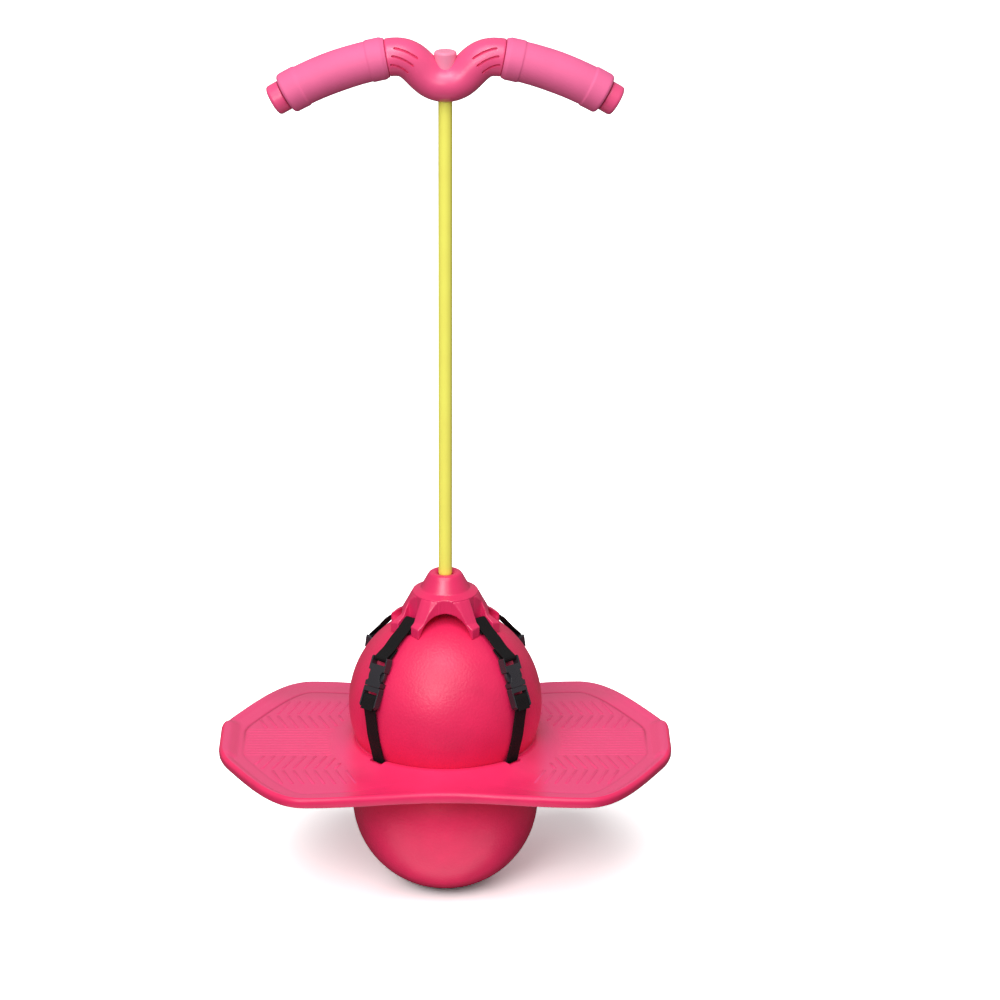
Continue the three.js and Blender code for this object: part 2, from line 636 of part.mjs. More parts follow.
// Plug half: a frame with two strap bars, a centre guide, and two pockets for the latches' knuckles.
function plugGeometry() {
  const half = BUCKLE_WIDTH / 2;
  const frame = buckleSheet([
    flat(half - 0.8, PLUG_TOP),
    flat(half, PLUG_TOP - 0.8),
    flat(half, PLUG_BOTTOM + 2.5),
    flat(half - 2.5, PLUG_BOTTOM),
    flat(2.5 - half, PLUG_BOTTOM),
    flat(-half, PLUG_BOTTOM + 2.5),
    flat(-half, PLUG_TOP - 0.8),
    flat(0.8 - half, PLUG_TOP),
  ], BUCKLE_THICKNESS - 1);
  const strapSlot = buckleBlock(STRAP_SLOT, PLUG_BOTTOM - 1, PLUG_TOP - 5, 2 * BUCKLE_THICKNESS);
  const bars = [PLUG_CROSS_BAR, PLUG_END_BAR].map((y) => bar(BUCKLE_BAR_RADIUS, STRAP_SLOT + 1, 0, y, 0, BAR_SEGMENTS));
  const guide = buckleBlock(3, PLUG_TOP - 1, WINDOW_HIGH + 1, CAVITY_THICKNESS - 2 * GAP);
  const pockets = [-1, 1].flatMap((side) => {
    const wide = LATCH_KNUCKLE + GAP;
    const throat = buckleBlock(2 * wide, LATCH_HINGE.y, PLUG_TOP + 1, CAVITY_THICKNESS, side * LATCH_HINGE.x);
    const seat = new THREE.CylinderGeometry(wide, wide, CAVITY_THICKNESS, 10).rotateZ(Math.PI / 2);
    return [solid(throat), solid(seat.translate(0, LATCH_HINGE.y, side * LATCH_HINGE.x))];
  });
  return geometryOf(cut(join(cut(solid(frame), solid(strapSlot)), ...bars.map(solid), solid(guide)), ...pockets));
}

// One springy latch, about its knuckle: a thin arm that widens to the thumb shoulder in the socket's window.
function latchGeometry(side) {
  const arm = LATCH_ARM / 2;
  const shoulderOut = BUCKLE_WIDTH / 2 - LATCH_HINGE.x;
  const low = WINDOW_LOW - LATCH_HINGE.y + 0.6;
  const high = WINDOW_HIGH - LATCH_HINGE.y - GAP;
  const tip = CAVITY_TOP - LATCH_HINGE.y - 1;
  const innerTip = tip * Math.tan(radians(LATCH_TRAVEL)) + 1.5 + GAP - LATCH_HINGE.x;
  const caught = CAVITY_HALF - LATCH_HINGE.x - GAP;
  const knuckle = arc(flat(0, 0), LATCH_KNUCKLE, Math.PI - 0.9, 2 * Math.PI + 0.9, 8);
  const points = [
    ...knuckle,
    flat(arm, low - 2.2),
    flat(caught, low),
    flat(shoulderOut - 0.5, low + 2),
    flat(shoulderOut, low + 4.5),
    flat(shoulderOut - 0.6, high),
    flat(caught, high),
    flat(caught, high + 1),
    flat(arm, tip),
    flat(Math.max(innerTip, -arm), tip),
    flat(-arm, low),
  ];
  return buckleSheet(points.map((p) => flat(-side * p.x, p.y)), CAVITY_THICKNESS - 2 * GAP);
}

for (const [corner, sideX, sideY] of corners) {
  const frame = new THREE.Group();
  frame.applyMatrix4(cornerFrame(sideX, sideY));
  toy.add(frame);
  const latitude = sideY < 0 ? BUCKLE_LATITUDE : REAR_BUCKLE_LATITUDE;
  add(frame, `${corner}_upper_strap`, strap(upperStrap(latitude)), webbing);
  add(frame, `${corner}_lower_strap`, strap(lowerStrap(latitude)), webbing);
  const pinLength = STRAP_SLOT + 2 * LUG_THICKNESS;
  add(frame, `${corner}_strap_pin`, bar(PIN_RADIUS, pinLength, PIN_CENTRE.x, PIN_CENTRE.y, 0), steel);
  const buckle = new THREE.Group();
  buckle.position.copy(space(...polar(BUCKLE_CENTRE, latitude).toArray(), 0));
  buckle.rotation.z = radians(latitude);
  frame.add(buckle);
  add(buckle, `${corner}_buckle_socket`, socketGeometry(), blackPlastic);
  add(buckle, `${corner}_buckle_plug`, plugGeometry(), blackPlastic);
  for (const side of [-1, 1]) {
    const nearFront = side * sideX * sideY < 0;
    const latch = add(buckle, `${corner}_${nearFront ? "inner" : "outer"}_latch`, latchGeometry(side), blackPlastic);
    latch.position.set(0, LATCH_HINGE.y, side * LATCH_HINGE.x);
  }
}

// Bracket: a boss for the rope on a sloping skirt, cut in plan to four forked legs that straddle the ball.
function bracketGeometry() {
  const bossTop = UPPER_LOBE_RADIUS + BOSS_RISE;
  const bossBase = bossTop - BOSS_HEIGHT;
  const under = UPPER_LOBE_RADIUS + BALL_GAP;
  const tip = polar(under + LEG_TIP_THICKNESS, LEG_TIP_LATITUDE);
  const skirtReach = tip.x + 12;
  const skirtDrop = tip.y - 8;
  const body = solid(lathe([
    [0, skirtDrop - 30],
    [skirtReach + 12, skirtDrop - 30],
    [skirtReach + 6, skirtDrop],
    [skirtReach - 4, (skirtDrop + tip.y) / 2 + 3],
    [tip.x - 4, tip.y + 7],
    [BOSS_BASE_RADIUS + 8, bossBase - 3.5],
    [BOSS_BASE_RADIUS + 2, bossBase - 1],
    [BOSS_BASE_RADIUS, bossBase],
    [BOSS_TOP_RADIUS + 1.2, bossTop - 3.4],
    [BOSS_TOP_RADIUS - 0.4, bossTop - 1],
    [BOSS_TOP_RADIUS - 2.2, bossTop],
    [0, bossTop],
  ]));

  // Plan outline through the leg tips' corners, hollowed between the legs.
  const halfLeg = STRAP_SLOT / 2 + PRONG_WIDTH;
  const toPlan = cornerFrame(1, 1).setPosition(0, 0, 0);
  const tipCorners = [-1, 1].map((side) => space(tip.x, tip.y, side * halfLeg).applyMatrix4(toPlan));
  const [front, side] = tipCorners.map((p) => flat(p.x, p.y)).sort((a, b) => a.x - b.x);
  const mirrored = (p, x, y) => flat(p.x * x, p.y * y);
  const plan = [
    ...hollow(mirrored(side, 1, -1), flat(SIDE_NECK, 0), side, 6),
    ...hollow(front, flat(0, FRONT_NECK), mirrored(front, -1, 1), 10),
    ...hollow(mirrored(side, -1, 1), flat(-SIDE_NECK, 0), mirrored(side, -1, -1), 6),
    ...hollow(mirrored(front, -1, -1), flat(0, -FRONT_NECK), mirrored(front, 1, -1), 10),
  ];
  const planPrism = solid(prism(plan, 0, bossTop + 10));
  const ballSpace = solid(lathe(ballProfile(-BALL_GAP, 10)).translate(0, 0, -UPPER_CENTRE));

  // Vaults between the legs, front to back and side to side.
  const vaultTop = under + 0.33 * (bossBase - under);
  const vaultRadius = 0.95 * front.x;
  const frontVault = bar(vaultRadius, 4 * SIDE_NECK, 0, 0, 0, ROUND_SEGMENTS).rotateX(Math.PI / 2);
  frontVault.translate(0, 0, vaultTop - vaultRadius);
  const sideRadius = 0.9 * side.y;
  const sideVault = bar(sideRadius, 6 * SIDE_NECK, 0, 0, 0, SMALL_SEGMENTS).rotateY(Math.PI / 2);
  sideVault.translate(0, 0, vaultTop - 6 - sideRadius);

  // Rope bore with a countersunk mouth, and the washer and ferrule pocket below its shelf.
  const shelf = bossTop - ROPE_SHELF;
  const bore = lathe([
    [0, 0],
    [WASHER_RADIUS + 2 * GAP, 0],
    [WASHER_RADIUS + 2 * GAP, shelf],
    [ROPE_BORE, shelf],
    [ROPE_BORE, bossTop - MOUTH_DEPTH],
    [ROPE_MOUTH, bossTop],
    [ROPE_MOUTH + 1, bossTop + 1],
    [0, bossTop + 1],
  ]);

  // Fork slot and strap bar of each leg.
  const slots = [];
  const bars = [];
  const slotLow = UPPER_LOBE_RADIUS * Math.cos(radians(LEG_SLOT_LATITUDE));
  const barRadius = UPPER_LOBE_RADIUS + BALL_GAP + STRAP_THICKNESS + GAP + loopRadius(BRACKET_BAR_RADIUS);
  const barCentre = polar(barRadius, LEG_BAR_LATITUDE);
  for (const [, sideX, sideY] of corners) {
    const level = cornerFrame(sideX, sideY).setPosition(0, 0, 0);
    const slot = box(80, 160, STRAP_SLOT, slotLow + 40, 80, 0);
    slots.push(solid(slot.applyMatrix4(level)));
    const strapBar = bar(BRACKET_BAR_RADIUS, STRAP_SLOT + 2, barCentre.x, barCentre.y, 0, BAR_SEGMENTS);
    bars.push(solid(strapBar.applyMatrix4(level)));
  }
  const legs = cut(body.intersect(planPrism), ballSpace, solid(frontVault), solid(sideVault), solid(bore), ...slots);
  return geometryOf(join(legs, ...bars));
}

const onBall = new THREE.Group();
onBall.position.z = UPPER_CENTRE;
toy.add(onBall);
add(onBall, "bracket", bracketGeometry(), pinkPlastic);

// Rope: one straight round length that turns about the centres of its rounded ends.
const quarterRound = [0, 30, 60].map((angle) => radians(angle));
const ropeSteps = Array.from({ length: 5 }, (_, i) => [ROPE_RADIUS, (ROPE_LENGTH * i) / 4]);
const ropeProfile = [
  [0, -ROPE_RADIUS],
  ...quarterRound.slice(1).reverse().map((a) => [ROPE_RADIUS * Math.cos(a), -ROPE_RADIUS * Math.sin(a)]),
  ...ropeSteps,
  ...quarterRound.slice(1).map((a) => [ROPE_RADIUS * Math.cos(a), ROPE_LENGTH + ROPE_RADIUS * Math.sin(a)]),
  [0, ROPE_LENGTH + ROPE_RADIUS],
];
const ropeFrame = new THREE.Group();
ropeFrame.position.z = BOSS_TOP;
toy.add(ropeFrame);
add(ropeFrame, "rope", lathe(ropeProfile, 10), ropeRubber);

// Each rope end is crimped in a cup ferrule that bears on a washer. Heights run from the washer's bearing face.
function washerGeometry() {
  return lathe([
    [ROPE_RADIUS + GAP, GAP],
    [WASHER_RADIUS, GAP],
    [WASHER_RADIUS, GAP + WASHER_THICKNESS],
    [ROPE_RADIUS + GAP, GAP + WASHER_THICKNESS],
    [ROPE_RADIUS + GAP, GAP],
  ], SMALL_SEGMENTS);
}

const FERRULE_START = 2 * GAP + WASHER_THICKNESS;
const FERRULE_RADIUS = ROPE_RADIUS + GAP + FERRULE_WALL;

function ferruleGeometry() {
  const end = FERRULE_START + FERRULE_HEIGHT;
  return lathe([
    [ROPE_RADIUS + GAP, FERRULE_START],
    [FERRULE_RADIUS, FERRULE_START],
    [FERRULE_RADIUS, end - 1],
    [FERRULE_RADIUS - 1, end],
    [0, end],
    [0, end - FERRULE_WALL],
    [ROPE_RADIUS + GAP, end - FERRULE_WALL],
    [ROPE_RADIUS + GAP, FERRULE_START],
  ], SMALL_SEGMENTS);
}

// The held end reaches from the free rope's rounded end to just short of the ferrule's closed end.
function ropeEndGeometry(bearing) {
  const start = ROPE_RADIUS + GAP - bearing;
  return lathe([
    [0, start],
    [ROPE_RADIUS, start],
    [ROPE_RADIUS, FERRULE_START + FERRULE_HEIGHT - FERRULE_WALL - GAP],
    [0, FERRULE_START + FERRULE_HEIGHT - FERRULE_WALL - GAP],
  ], SMALL_SEGMENTS);
}

const lowerEnd = new THREE.Group();
lowerEnd.position.z = BOSS_TOP - ROPE_SHELF;
lowerEnd.rotation.x = Math.PI;
toy.add(lowerEnd);
add(lowerEnd, "lower_washer", washerGeometry(), steel);
add(lowerEnd, "lower_ferrule", ferruleGeometry(), steel);
add(lowerEnd, "rope_lower_end", ropeEndGeometry(ROPE_SHELF), ropeRubber);

const handle = new THREE.Group();
handle.position.z = HANDLE_CENTRE;
toy.add(handle);
const upperEnd = new THREE.Group();
upperEnd.position.z = STOP_SEAT;
handle.add(upperEnd);
add(upperEnd, "upper_washer", washerGeometry(), steel);
add(upperEnd, "upper_ferrule", ferruleGeometry(), steel);
add(upperEnd, "rope_upper_end", ropeEndGeometry(HUB_DROP + STOP_SEAT), ropeRubber);

// Stop cap: a short round cap over the ferrule, seated on the washer.
const capTop = FERRULE_START + STOP_HEIGHT;
const capBore = FERRULE_RADIUS + GAP;
const capCeiling = FERRULE_START + FERRULE_HEIGHT + GAP;
add(upperEnd, "rope_stop_cap", lathe([
  [capBore, FERRULE_START],
  [STOP_RADIUS, FERRULE_START],
  [STOP_RADIUS, capTop - 2.2],
  [STOP_RADIUS - 0.7, capTop - 0.7],
  [STOP_RADIUS - 2.2, capTop],
  [0, capTop],
  [0, capCeiling],
  [capBore, capCeiling],
  [capBore, FERRULE_START],
], 24), palePlastic);

// Centreline of one half of the handle in (x, z): down in the saddle, over the shoulder, then along the grip's arc.
const gripSlope = Math.asin(GRIP_START / GRIP_ARC_RADIUS);
const gripStartHeight = SADDLE_DEPTH - 0.5 * (GRIP_START - SADDLE_REACH) * Math.tan(gripSlope);
const arcCentre = gripStartHeight - GRIP_ARC_RADIUS * Math.cos(gripSlope);
const saddleFloor = SHOULDER_RADIUS - HUB_DROP;
const saddleCurve = new THREE.CubicBezierCurve(flat(0, saddleFloor), flat(SADDLE_EASE, saddleFloor),
  flat(SADDLE_REACH - SADDLE_EASE, SADDLE_DEPTH), flat(SADDLE_REACH, SADDLE_DEPTH));
const shoulderCurve = new THREE.QuadraticBezierCurve(flat(SADDLE_REACH, SADDLE_DEPTH),
  flat((SADDLE_REACH + GRIP_START) / 2, SADDLE_DEPTH), flat(GRIP_START, gripStartHeight));

// Position and direction on the grip's arc at a distance along it from the grip's inner end.
function onGrip(distance) {
  const angle = gripSlope + distance / GRIP_ARC_RADIUS;
  return {
    point: flat(GRIP_ARC_RADIUS * Math.sin(angle), arcCentre + GRIP_ARC_RADIUS * Math.cos(angle)),
    along: flat(Math.cos(angle), -Math.sin(angle)),
  };
}

// The end plug's straight axis: the tangent of the grip's arc at its outer end.
function onPlug(distance) {
  const { point, along } = onGrip(GRIP_LENGTH);
  return { point: point.addScaledVector(along, distance - GRIP_LENGTH), along };
}

// A ring of points round the handle's centreline, on the right (+1) or left (-1) half.
function ringAt({ point, along }, radius, half, segments, depthRatio = 1) {
  return Array.from({ length: segments }, (_, i) => {
    const angle = (2 * Math.PI * i) / segments;
    const [up, across] = [radius * Math.cos(angle), depthRatio * radius * Math.sin(angle)];
    return space(half * (point.x - along.y * up), across, point.y + along.x * up);
  });
}

const BAR_RADIUS = GRIP_RADIUS - GRIP_WALL - GAP;
const HANDLE_SEGMENTS = 18;

// The saddle's rings from the middle out, widened from front to back over the rope.
function hubRings(half) {
  const rings = [];
  const saddleSteps = 8;
  const onCurve = (curve, t) => ({ point: curve.getPoint(t), along: curve.getTangent(t) });
  for (let i = 0; i <= saddleSteps; i += 1) {
    const place = onCurve(saddleCurve, i / saddleSteps);
    const share = Math.min(place.point.x / (0.5 * SADDLE_REACH), 1);
    const depthRatio = HUB_DEPTH_RATIO + (1 - HUB_DEPTH_RATIO) * share * share * (3 - 2 * share);
    rings.push(ringAt(place, SHOULDER_RADIUS, half, HANDLE_SEGMENTS, depthRatio));
  }
  for (const t of [0.5, 1]) {
    rings.push(ringAt(onCurve(shoulderCurve, t), SHOULDER_RADIUS, half, HANDLE_SEGMENTS));
  }
  return rings;
}

// Three straight slots sunk into each shoulder, front and back: inner and outer ends as (x, z) in front view.
const shoulderSlots = [
  [flat(25.3, SADDLE_DEPTH + 1.6), flat(48.9, SADDLE_DEPTH + 11.5)],
  [flat(29.3, SADDLE_DEPTH - 5.1), flat(50.8, SADDLE_DEPTH + 4.7)],
  [flat(34.4, SADDLE_DEPTH - 11.8), flat(51.7, SADDLE_DEPTH - 3.6)],
];

function slotCutters(half) {
  return shoulderSlots.flatMap(([inner, outer]) => {
    const run = outer.clone().sub(inner);
    const surface = Math.sqrt(SHOULDER_RADIUS ** 2 - (outer.y - SADDLE_DEPTH) ** 2);
    const depth = SHOULDER_RADIUS + 1 - (surface - SLOT_DEPTH);
    const place = inner.clone().lerp(outer, 0.5);
    return [-1, 1].map((face) => {
      const slot = box(run.length(), depth, SLOT_WIDTH, 0, 0, 0).rotateY(-half * run.angle());
      return solid(slot.translate(half * place.x, face * (SHOULDER_RADIUS + 1 - depth / 2), place.y));
    });
  });
}

// Handle core: the saddle and two bars that carry the grips, bored at the ends for the plugs.
function coreGeometry() {
  const bars = (half, radius, from, to) => Array.from({ length: 5 }, (_, i) =>
    ringAt(onGrip(from + ((to - from) * i) / 4), radius, half, HANDLE_SEGMENTS));
  const left = hubRings(-1);
  const right = hubRings(1);
  const shoulderRing = (half) => ringAt(onGrip(0), BAR_RADIUS, half, HANDLE_SEGMENTS);
  const rings = [
    ...bars(-1, BAR_RADIUS, 0, GRIP_LENGTH).reverse().slice(0, -1),
    shoulderRing(-1),
    ...left.slice(1).reverse(),
    ...right,
    shoulderRing(1),
    ...bars(1, BAR_RADIUS, 0, GRIP_LENGTH).slice(1),
  ];
  const body = solid(loft(rings));
  const spigotSpace = [-1, 1].map((half) => solid(loft([
    ringAt(onPlug(GRIP_LENGTH - PLUG_SPIGOT_LENGTH - 1), PLUG_SPIGOT_RADIUS + GAP, half, SMALL_SEGMENTS),
    ringAt(onPlug(GRIP_LENGTH + 2), PLUG_SPIGOT_RADIUS + GAP, half, SMALL_SEGMENTS),
  ])));
  const ropeHole = lathe([
    [0, -HUB_DROP - 6],
    [ROPE_MOUTH + 6 * Math.tan(radians(ROPE_LEAN)), -HUB_DROP - 6],
    [ROPE_MOUTH, -HUB_DROP],
    [ROPE_BORE, MOUTH_DEPTH - HUB_DROP],
    [ROPE_BORE, STOP_SEAT],
    [STOP_RADIUS + 1.5 * GAP, STOP_SEAT],
    [STOP_RADIUS + 1.5 * GAP, SADDLE_DEPTH + 40],
    [0, SADDLE_DEPTH + 40],
  ], 24);
  return geometryOf(cut(body, solid(ropeHole), ...spigotSpace, ...slotCutters(-1), ...slotCutters(1)));
}

add(handle, "handle_core", coreGeometry(), pinkPlastic);

// Grip: a thick soft sleeve with a slightly raised band at each end and rounded ends.
function gripGeometry(half) {
  const [start, end] = [GAP, GRIP_LENGTH];
  const band = GRIP_RADIUS + GRIP_BAND_RISE;
  const profile = [
    [start, SHOULDER_RADIUS + 0.6],
    [start + 1.2, GRIP_RADIUS - 0.7],
    [start + 4, band],
    [start + GRIP_BAND_LENGTH, band],
    [start + GRIP_BAND_LENGTH + 1, GRIP_RADIUS - 0.3],
    [(start + end) / 2 - 14, GRIP_RADIUS],
    [(start + end) / 2 + 14, GRIP_RADIUS],
    [end - GRIP_BAND_LENGTH - 1, GRIP_RADIUS - 0.3],
    [end - GRIP_BAND_LENGTH, band],
    [end - 5, band - 0.3],
    [end - 1.5, GRIP_RADIUS - 1.4],
    [end, GRIP_RADIUS - 3.4],
  ];
  const bore = GRIP_RADIUS - GRIP_WALL;
  const skin = loft(profile.map(([distance, radius]) => ringAt(onGrip(distance), radius, half, HANDLE_SEGMENTS)));
  const tunnel = loft(Array.from({ length: 6 }, (_, i) =>
    ringAt(onGrip(-2 + ((GRIP_LENGTH + 4) * i) / 5), bore, half, HANDLE_SEGMENTS)));
  return geometryOf(cut(solid(skin), solid(tunnel)));
}

// End plug: a rounded head outside the grip on a spigot pushed into the bar's bore.
function plugEndGeometry(half) {
  const start = GRIP_LENGTH + GAP;
  const end = GRIP_LENGTH + PLUG_REACH;
  const profile = [
    [GRIP_LENGTH - PLUG_SPIGOT_LENGTH, PLUG_SPIGOT_RADIUS - 1],
    [GRIP_LENGTH - PLUG_SPIGOT_LENGTH + 1.5, PLUG_SPIGOT_RADIUS],
    [start, PLUG_SPIGOT_RADIUS],
    [start, PLUG_RADIUS],
    [end - 3, PLUG_RADIUS],
    [end - 0.9, PLUG_RADIUS - 0.9],
    [end, PLUG_RADIUS - 3],
  ];
  return loft(profile.map(([distance, radius]) => ringAt(onPlug(distance), radius, half, SMALL_SEGMENTS)));
}

for (const [name, half] of [["left", -1], ["right", 1]]) {
  add(handle, `${name}_grip`, gripGeometry(half), gripFoam);
  add(handle, `${name}_end_plug`, plugEndGeometry(half), pinkPlastic);
}

const part = new THREE.Group();
part.name = "pogo_ball";
part.add(toy);
export default part;
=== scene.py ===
"""Looks of a pogo ball with a hand rope, in its CAD frame: metres, +Z up, origin in the handle's saddle.

Shapes are worked out in millimetres above the ground under the ball, and shape() moves them into the frame.
"""

import bmesh
import bpy
import numpy as np
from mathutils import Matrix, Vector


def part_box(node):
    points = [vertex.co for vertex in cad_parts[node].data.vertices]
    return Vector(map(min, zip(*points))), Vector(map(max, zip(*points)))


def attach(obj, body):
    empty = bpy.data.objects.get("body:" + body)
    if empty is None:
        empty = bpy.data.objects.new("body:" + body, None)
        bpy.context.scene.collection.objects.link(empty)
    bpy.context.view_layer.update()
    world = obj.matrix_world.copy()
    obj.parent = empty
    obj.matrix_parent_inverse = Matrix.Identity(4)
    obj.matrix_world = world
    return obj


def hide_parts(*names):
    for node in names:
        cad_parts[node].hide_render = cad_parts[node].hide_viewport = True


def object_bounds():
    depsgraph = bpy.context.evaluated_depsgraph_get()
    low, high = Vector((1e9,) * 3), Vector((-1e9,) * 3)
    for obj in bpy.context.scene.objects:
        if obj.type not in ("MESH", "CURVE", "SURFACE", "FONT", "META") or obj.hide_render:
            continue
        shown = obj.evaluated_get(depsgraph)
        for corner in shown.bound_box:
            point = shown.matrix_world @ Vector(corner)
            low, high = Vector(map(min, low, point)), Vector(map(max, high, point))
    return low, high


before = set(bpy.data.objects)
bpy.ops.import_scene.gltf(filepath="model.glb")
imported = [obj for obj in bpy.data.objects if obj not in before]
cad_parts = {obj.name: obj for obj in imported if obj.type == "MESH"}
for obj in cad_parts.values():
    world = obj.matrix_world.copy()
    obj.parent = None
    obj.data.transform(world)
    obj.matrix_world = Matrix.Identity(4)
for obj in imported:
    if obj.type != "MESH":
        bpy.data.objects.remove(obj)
CAD_BOX = [[float(value) for value in corner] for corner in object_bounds()]

# Stage: a white floor, an even white sky, a broad lamp overhead, soft lamps before and behind, a small one
# above the handle, and a card of light on the floor that lights the lower lobe from below.
# The camera takes the photograph's view: 23.5 degrees above the deck, and four metres away.
MILLIMETRE = 0.001
GROUND = CAD_BOX[0][2]
FLOOR_HALF = 30.0
VIEW_DISTANCE = 4.0
VIEW_RISE = np.radians(23.5)
VIEW_PITCH = np.radians(20.053)
VIEW_PAN = np.radians(0.737)
VIEW_ROLL = np.radians(-0.27)
VIEW_MIDDLE = 153.36
VIEW_LENS = 143.75
FLOOR_SEEN = 2.0
FLOOR_BOUNCE = 0.13
SKY_SEEN = 1.0
SKY_LIGHT = 0.32


def two_tone(tree, socket, seen, lit):
    """Gives a colour socket one grey for the camera and another for the light that it sends on."""
    tone = tree.nodes.new("ShaderNodeMixRGB")
    tone.inputs["Color1"].default_value = (lit, lit, lit, 1.0)
    tone.inputs["Color2"].default_value = (seen, seen, seen, 1.0)
    ray = tree.nodes.new("ShaderNodeLightPath")
    tree.links.new(ray.outputs["Is Camera Ray"], tone.inputs["Fac"])
    tree.links.new(tone.outputs["Color"], socket)


def soft_lamp(name, watts, size, place, turn):
    """A round or oval lamp of a size in metres, turned by degrees about X and then Z from facing down."""
    lamp = bpy.data.objects.new(name, bpy.data.lights.new(name, "AREA"))
    lamp.data.energy = watts
    lamp.data.shape = "ELLIPSE"
    lamp.data.size, lamp.data.size_y = size
    lamp.location = place
    lamp.rotation_euler = (np.radians(turn[0]), 0.0, np.radians(turn[1]))
    scene.collection.objects.link(lamp)
    return lamp


scene = bpy.context.scene
floor_mesh = bpy.data.meshes.new("floor")
floor_signs = np.array([[-1.0, -1.0], [1.0, -1.0], [1.0, 1.0], [-1.0, 1.0]])
floor_corners = np.column_stack([FLOOR_HALF * floor_signs, np.full(4, GROUND)])
floor_mesh.from_pydata(floor_corners.tolist(), [], [(0, 1, 2, 3)])
floor = bpy.data.objects.new("floor", floor_mesh)
scene.collection.objects.link(floor)
floor_paint = bpy.data.materials.new("floor_paint")
floor_paint.use_nodes = True
floor_shader = floor_paint.node_tree.nodes["Principled BSDF"]
floor_shader.inputs["Roughness"].default_value = 0.9
floor_shader.inputs["Specular IOR Level"].default_value = 0.0
two_tone(floor_paint.node_tree, floor_shader.inputs["Base Color"], FLOOR_SEEN, FLOOR_BOUNCE)
floor_mesh.materials.append(floor_paint)

scene.world = bpy.data.worlds.new("studio")
scene.world.use_nodes = True
sky = scene.world.node_tree
two_tone(sky, sky.nodes["Background"].inputs["Color"], SKY_SEEN, SKY_LIGHT)

overhead = bpy.data.objects.new("overhead", bpy.data.lights.new("overhead", "SUN"))
overhead.data.energy = 2.2
overhead.data.angle = np.radians(60.0)
overhead.rotation_euler = (np.radians(32.0), np.radians(-8.0), 0.0)
scene.collection.objects.link(overhead)

soft_lamp("front", watts=19.0, size=(1.1, 1.1), place=(-0.7, -2.3, 0.75), turn=(60.0, -17.0))
soft_lamp("above", watts=2.6, size=(0.35, 0.35), place=(-0.1, -0.6, 1.0), turn=(31.0, -9.0))
card_place = (-0.03, -0.2, GROUND + 0.004)
card = soft_lamp("card", watts=0.32, size=(0.5, 0.26), place=card_place, turn=(180.0, 0.0))
card.visible_camera = False
behind = soft_lamp("behind", watts=5.0, size=(1.1, 1.1), place=(0.0, 2.2, 0.4), turn=(-66.0, 0.0))
behind.visible_glossy = False

camera = bpy.data.objects.new("camera", bpy.data.cameras.new("camera"))
camera.data.sensor_width = 36.0
camera.data.lens = VIEW_LENS
camera.location = (
    0.0,
    -VIEW_DISTANCE * np.cos(VIEW_RISE),
    GROUND + VIEW_MIDDLE * MILLIMETRE + VIEW_DISTANCE * np.sin(VIEW_RISE),
)
camera.rotation_euler = (np.pi / 2 - VIEW_PITCH, VIEW_ROLL, -VIEW_PAN)
scene.collection.objects.link(camera)
scene.camera = camera
scene.view_settings.view_transform = "Standard"

# Ball: a hollow two-lobed ball of soft glossy vinyl, blown in one piece and held at its waist by the deck.
# Its skin has a fine pebble grain. A needle valve sits in a shallow dimple on the rear of the upper lobe.
LOWER_RADIUS = 93.0
UPPER_RADIUS = 96.0
WAIST_RADIUS = 86.5
LOWER_CENTRE = LOWER_RADIUS
UPPER_CENTRE = (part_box("ball")[1][2] - GROUND) / MILLIMETRE - UPPER_RADIUS
WAIST_LOW = LOWER_CENTRE + np.sqrt(LOWER_RADIUS**2 - WAIST_RADIUS**2)
WAIST_HIGH = UPPER_CENTRE - np.sqrt(UPPER_RADIUS**2 - WAIST_RADIUS**2)
UPPER_MIDDLE = (0.0, 0.0, UPPER_CENTRE)
VALVE_RADIUS = 5.0
VALVE_HOLE = 1.1
VALVE_LATITUDE = np.radians(20.0)
DIMPLE_RADIUS = 11.0
DIMPLE_SLOPE = 7.0
DIMPLE_DEPTH = 0.9
NEAR_POLE = 0.495 * np.pi
WELD_DISTANCE = 2e-6
BALL_PINK = (0.80, 0.020, 0.105)
VALVE_PINK = (0.62, 0.020, 0.090)


def skin(points, looped=False, capped=True):
    """Vertices and faces over a grid of points: quads between neighbours, and a fan on each capped end."""
    rows, columns = points.shape[:2]
    row = np.arange(rows if looped else rows - 1)[:, None]
    column = np.arange(columns)[None, :]
    ahead = (row + 1) % rows
    beside = (column + 1) % columns
    quads = np.broadcast_arrays(
        row * columns + column,
        row * columns + beside,
        ahead * columns + beside,
        ahead * columns + column,
    )
    vertices = [points.reshape(-1, 3)]
    faces = np.stack(quads, axis=-1).reshape(-1, 4).tolist()
    if capped:
        for extra, ring in enumerate((0, rows - 1)):
            middle = rows * columns + extra
            vertices.append(points[ring].mean(axis=0)[None, :])
            rim = ring * columns + np.arange(columns)
            faces += np.stack([np.full(columns, middle), rim, np.roll(rim, -1)], axis=-1).tolist()
    return np.concatenate(vertices), faces


def solid(name, material, vertices, faces, sharp, flat=None):
    """One object with its faces outward. Where flat is an angle, its loose triangles are joined first."""
    mesh = bpy.data.meshes.new(name)
    mesh.from_pydata(vertices.tolist(), [], faces)
    work = bmesh.new()
    work.from_mesh(mesh)
    if flat is not None:
        bmesh.ops.remove_doubles(work, verts=work.verts, dist=WELD_DISTANCE)
        bmesh.ops.dissolve_limit(work, angle_limit=np.radians(flat), verts=work.verts, edges=work.edges)
    bmesh.ops.recalc_face_normals(work, faces=work.faces)
    work.to_mesh(mesh)
    work.free()
    mesh.shade_smooth()
    mesh.set_sharp_from_angle(angle=np.radians(sharp))
    mesh.materials.append(material)
    made = bpy.data.objects.new(name, mesh)
    scene.collection.objects.link(made)
    return made


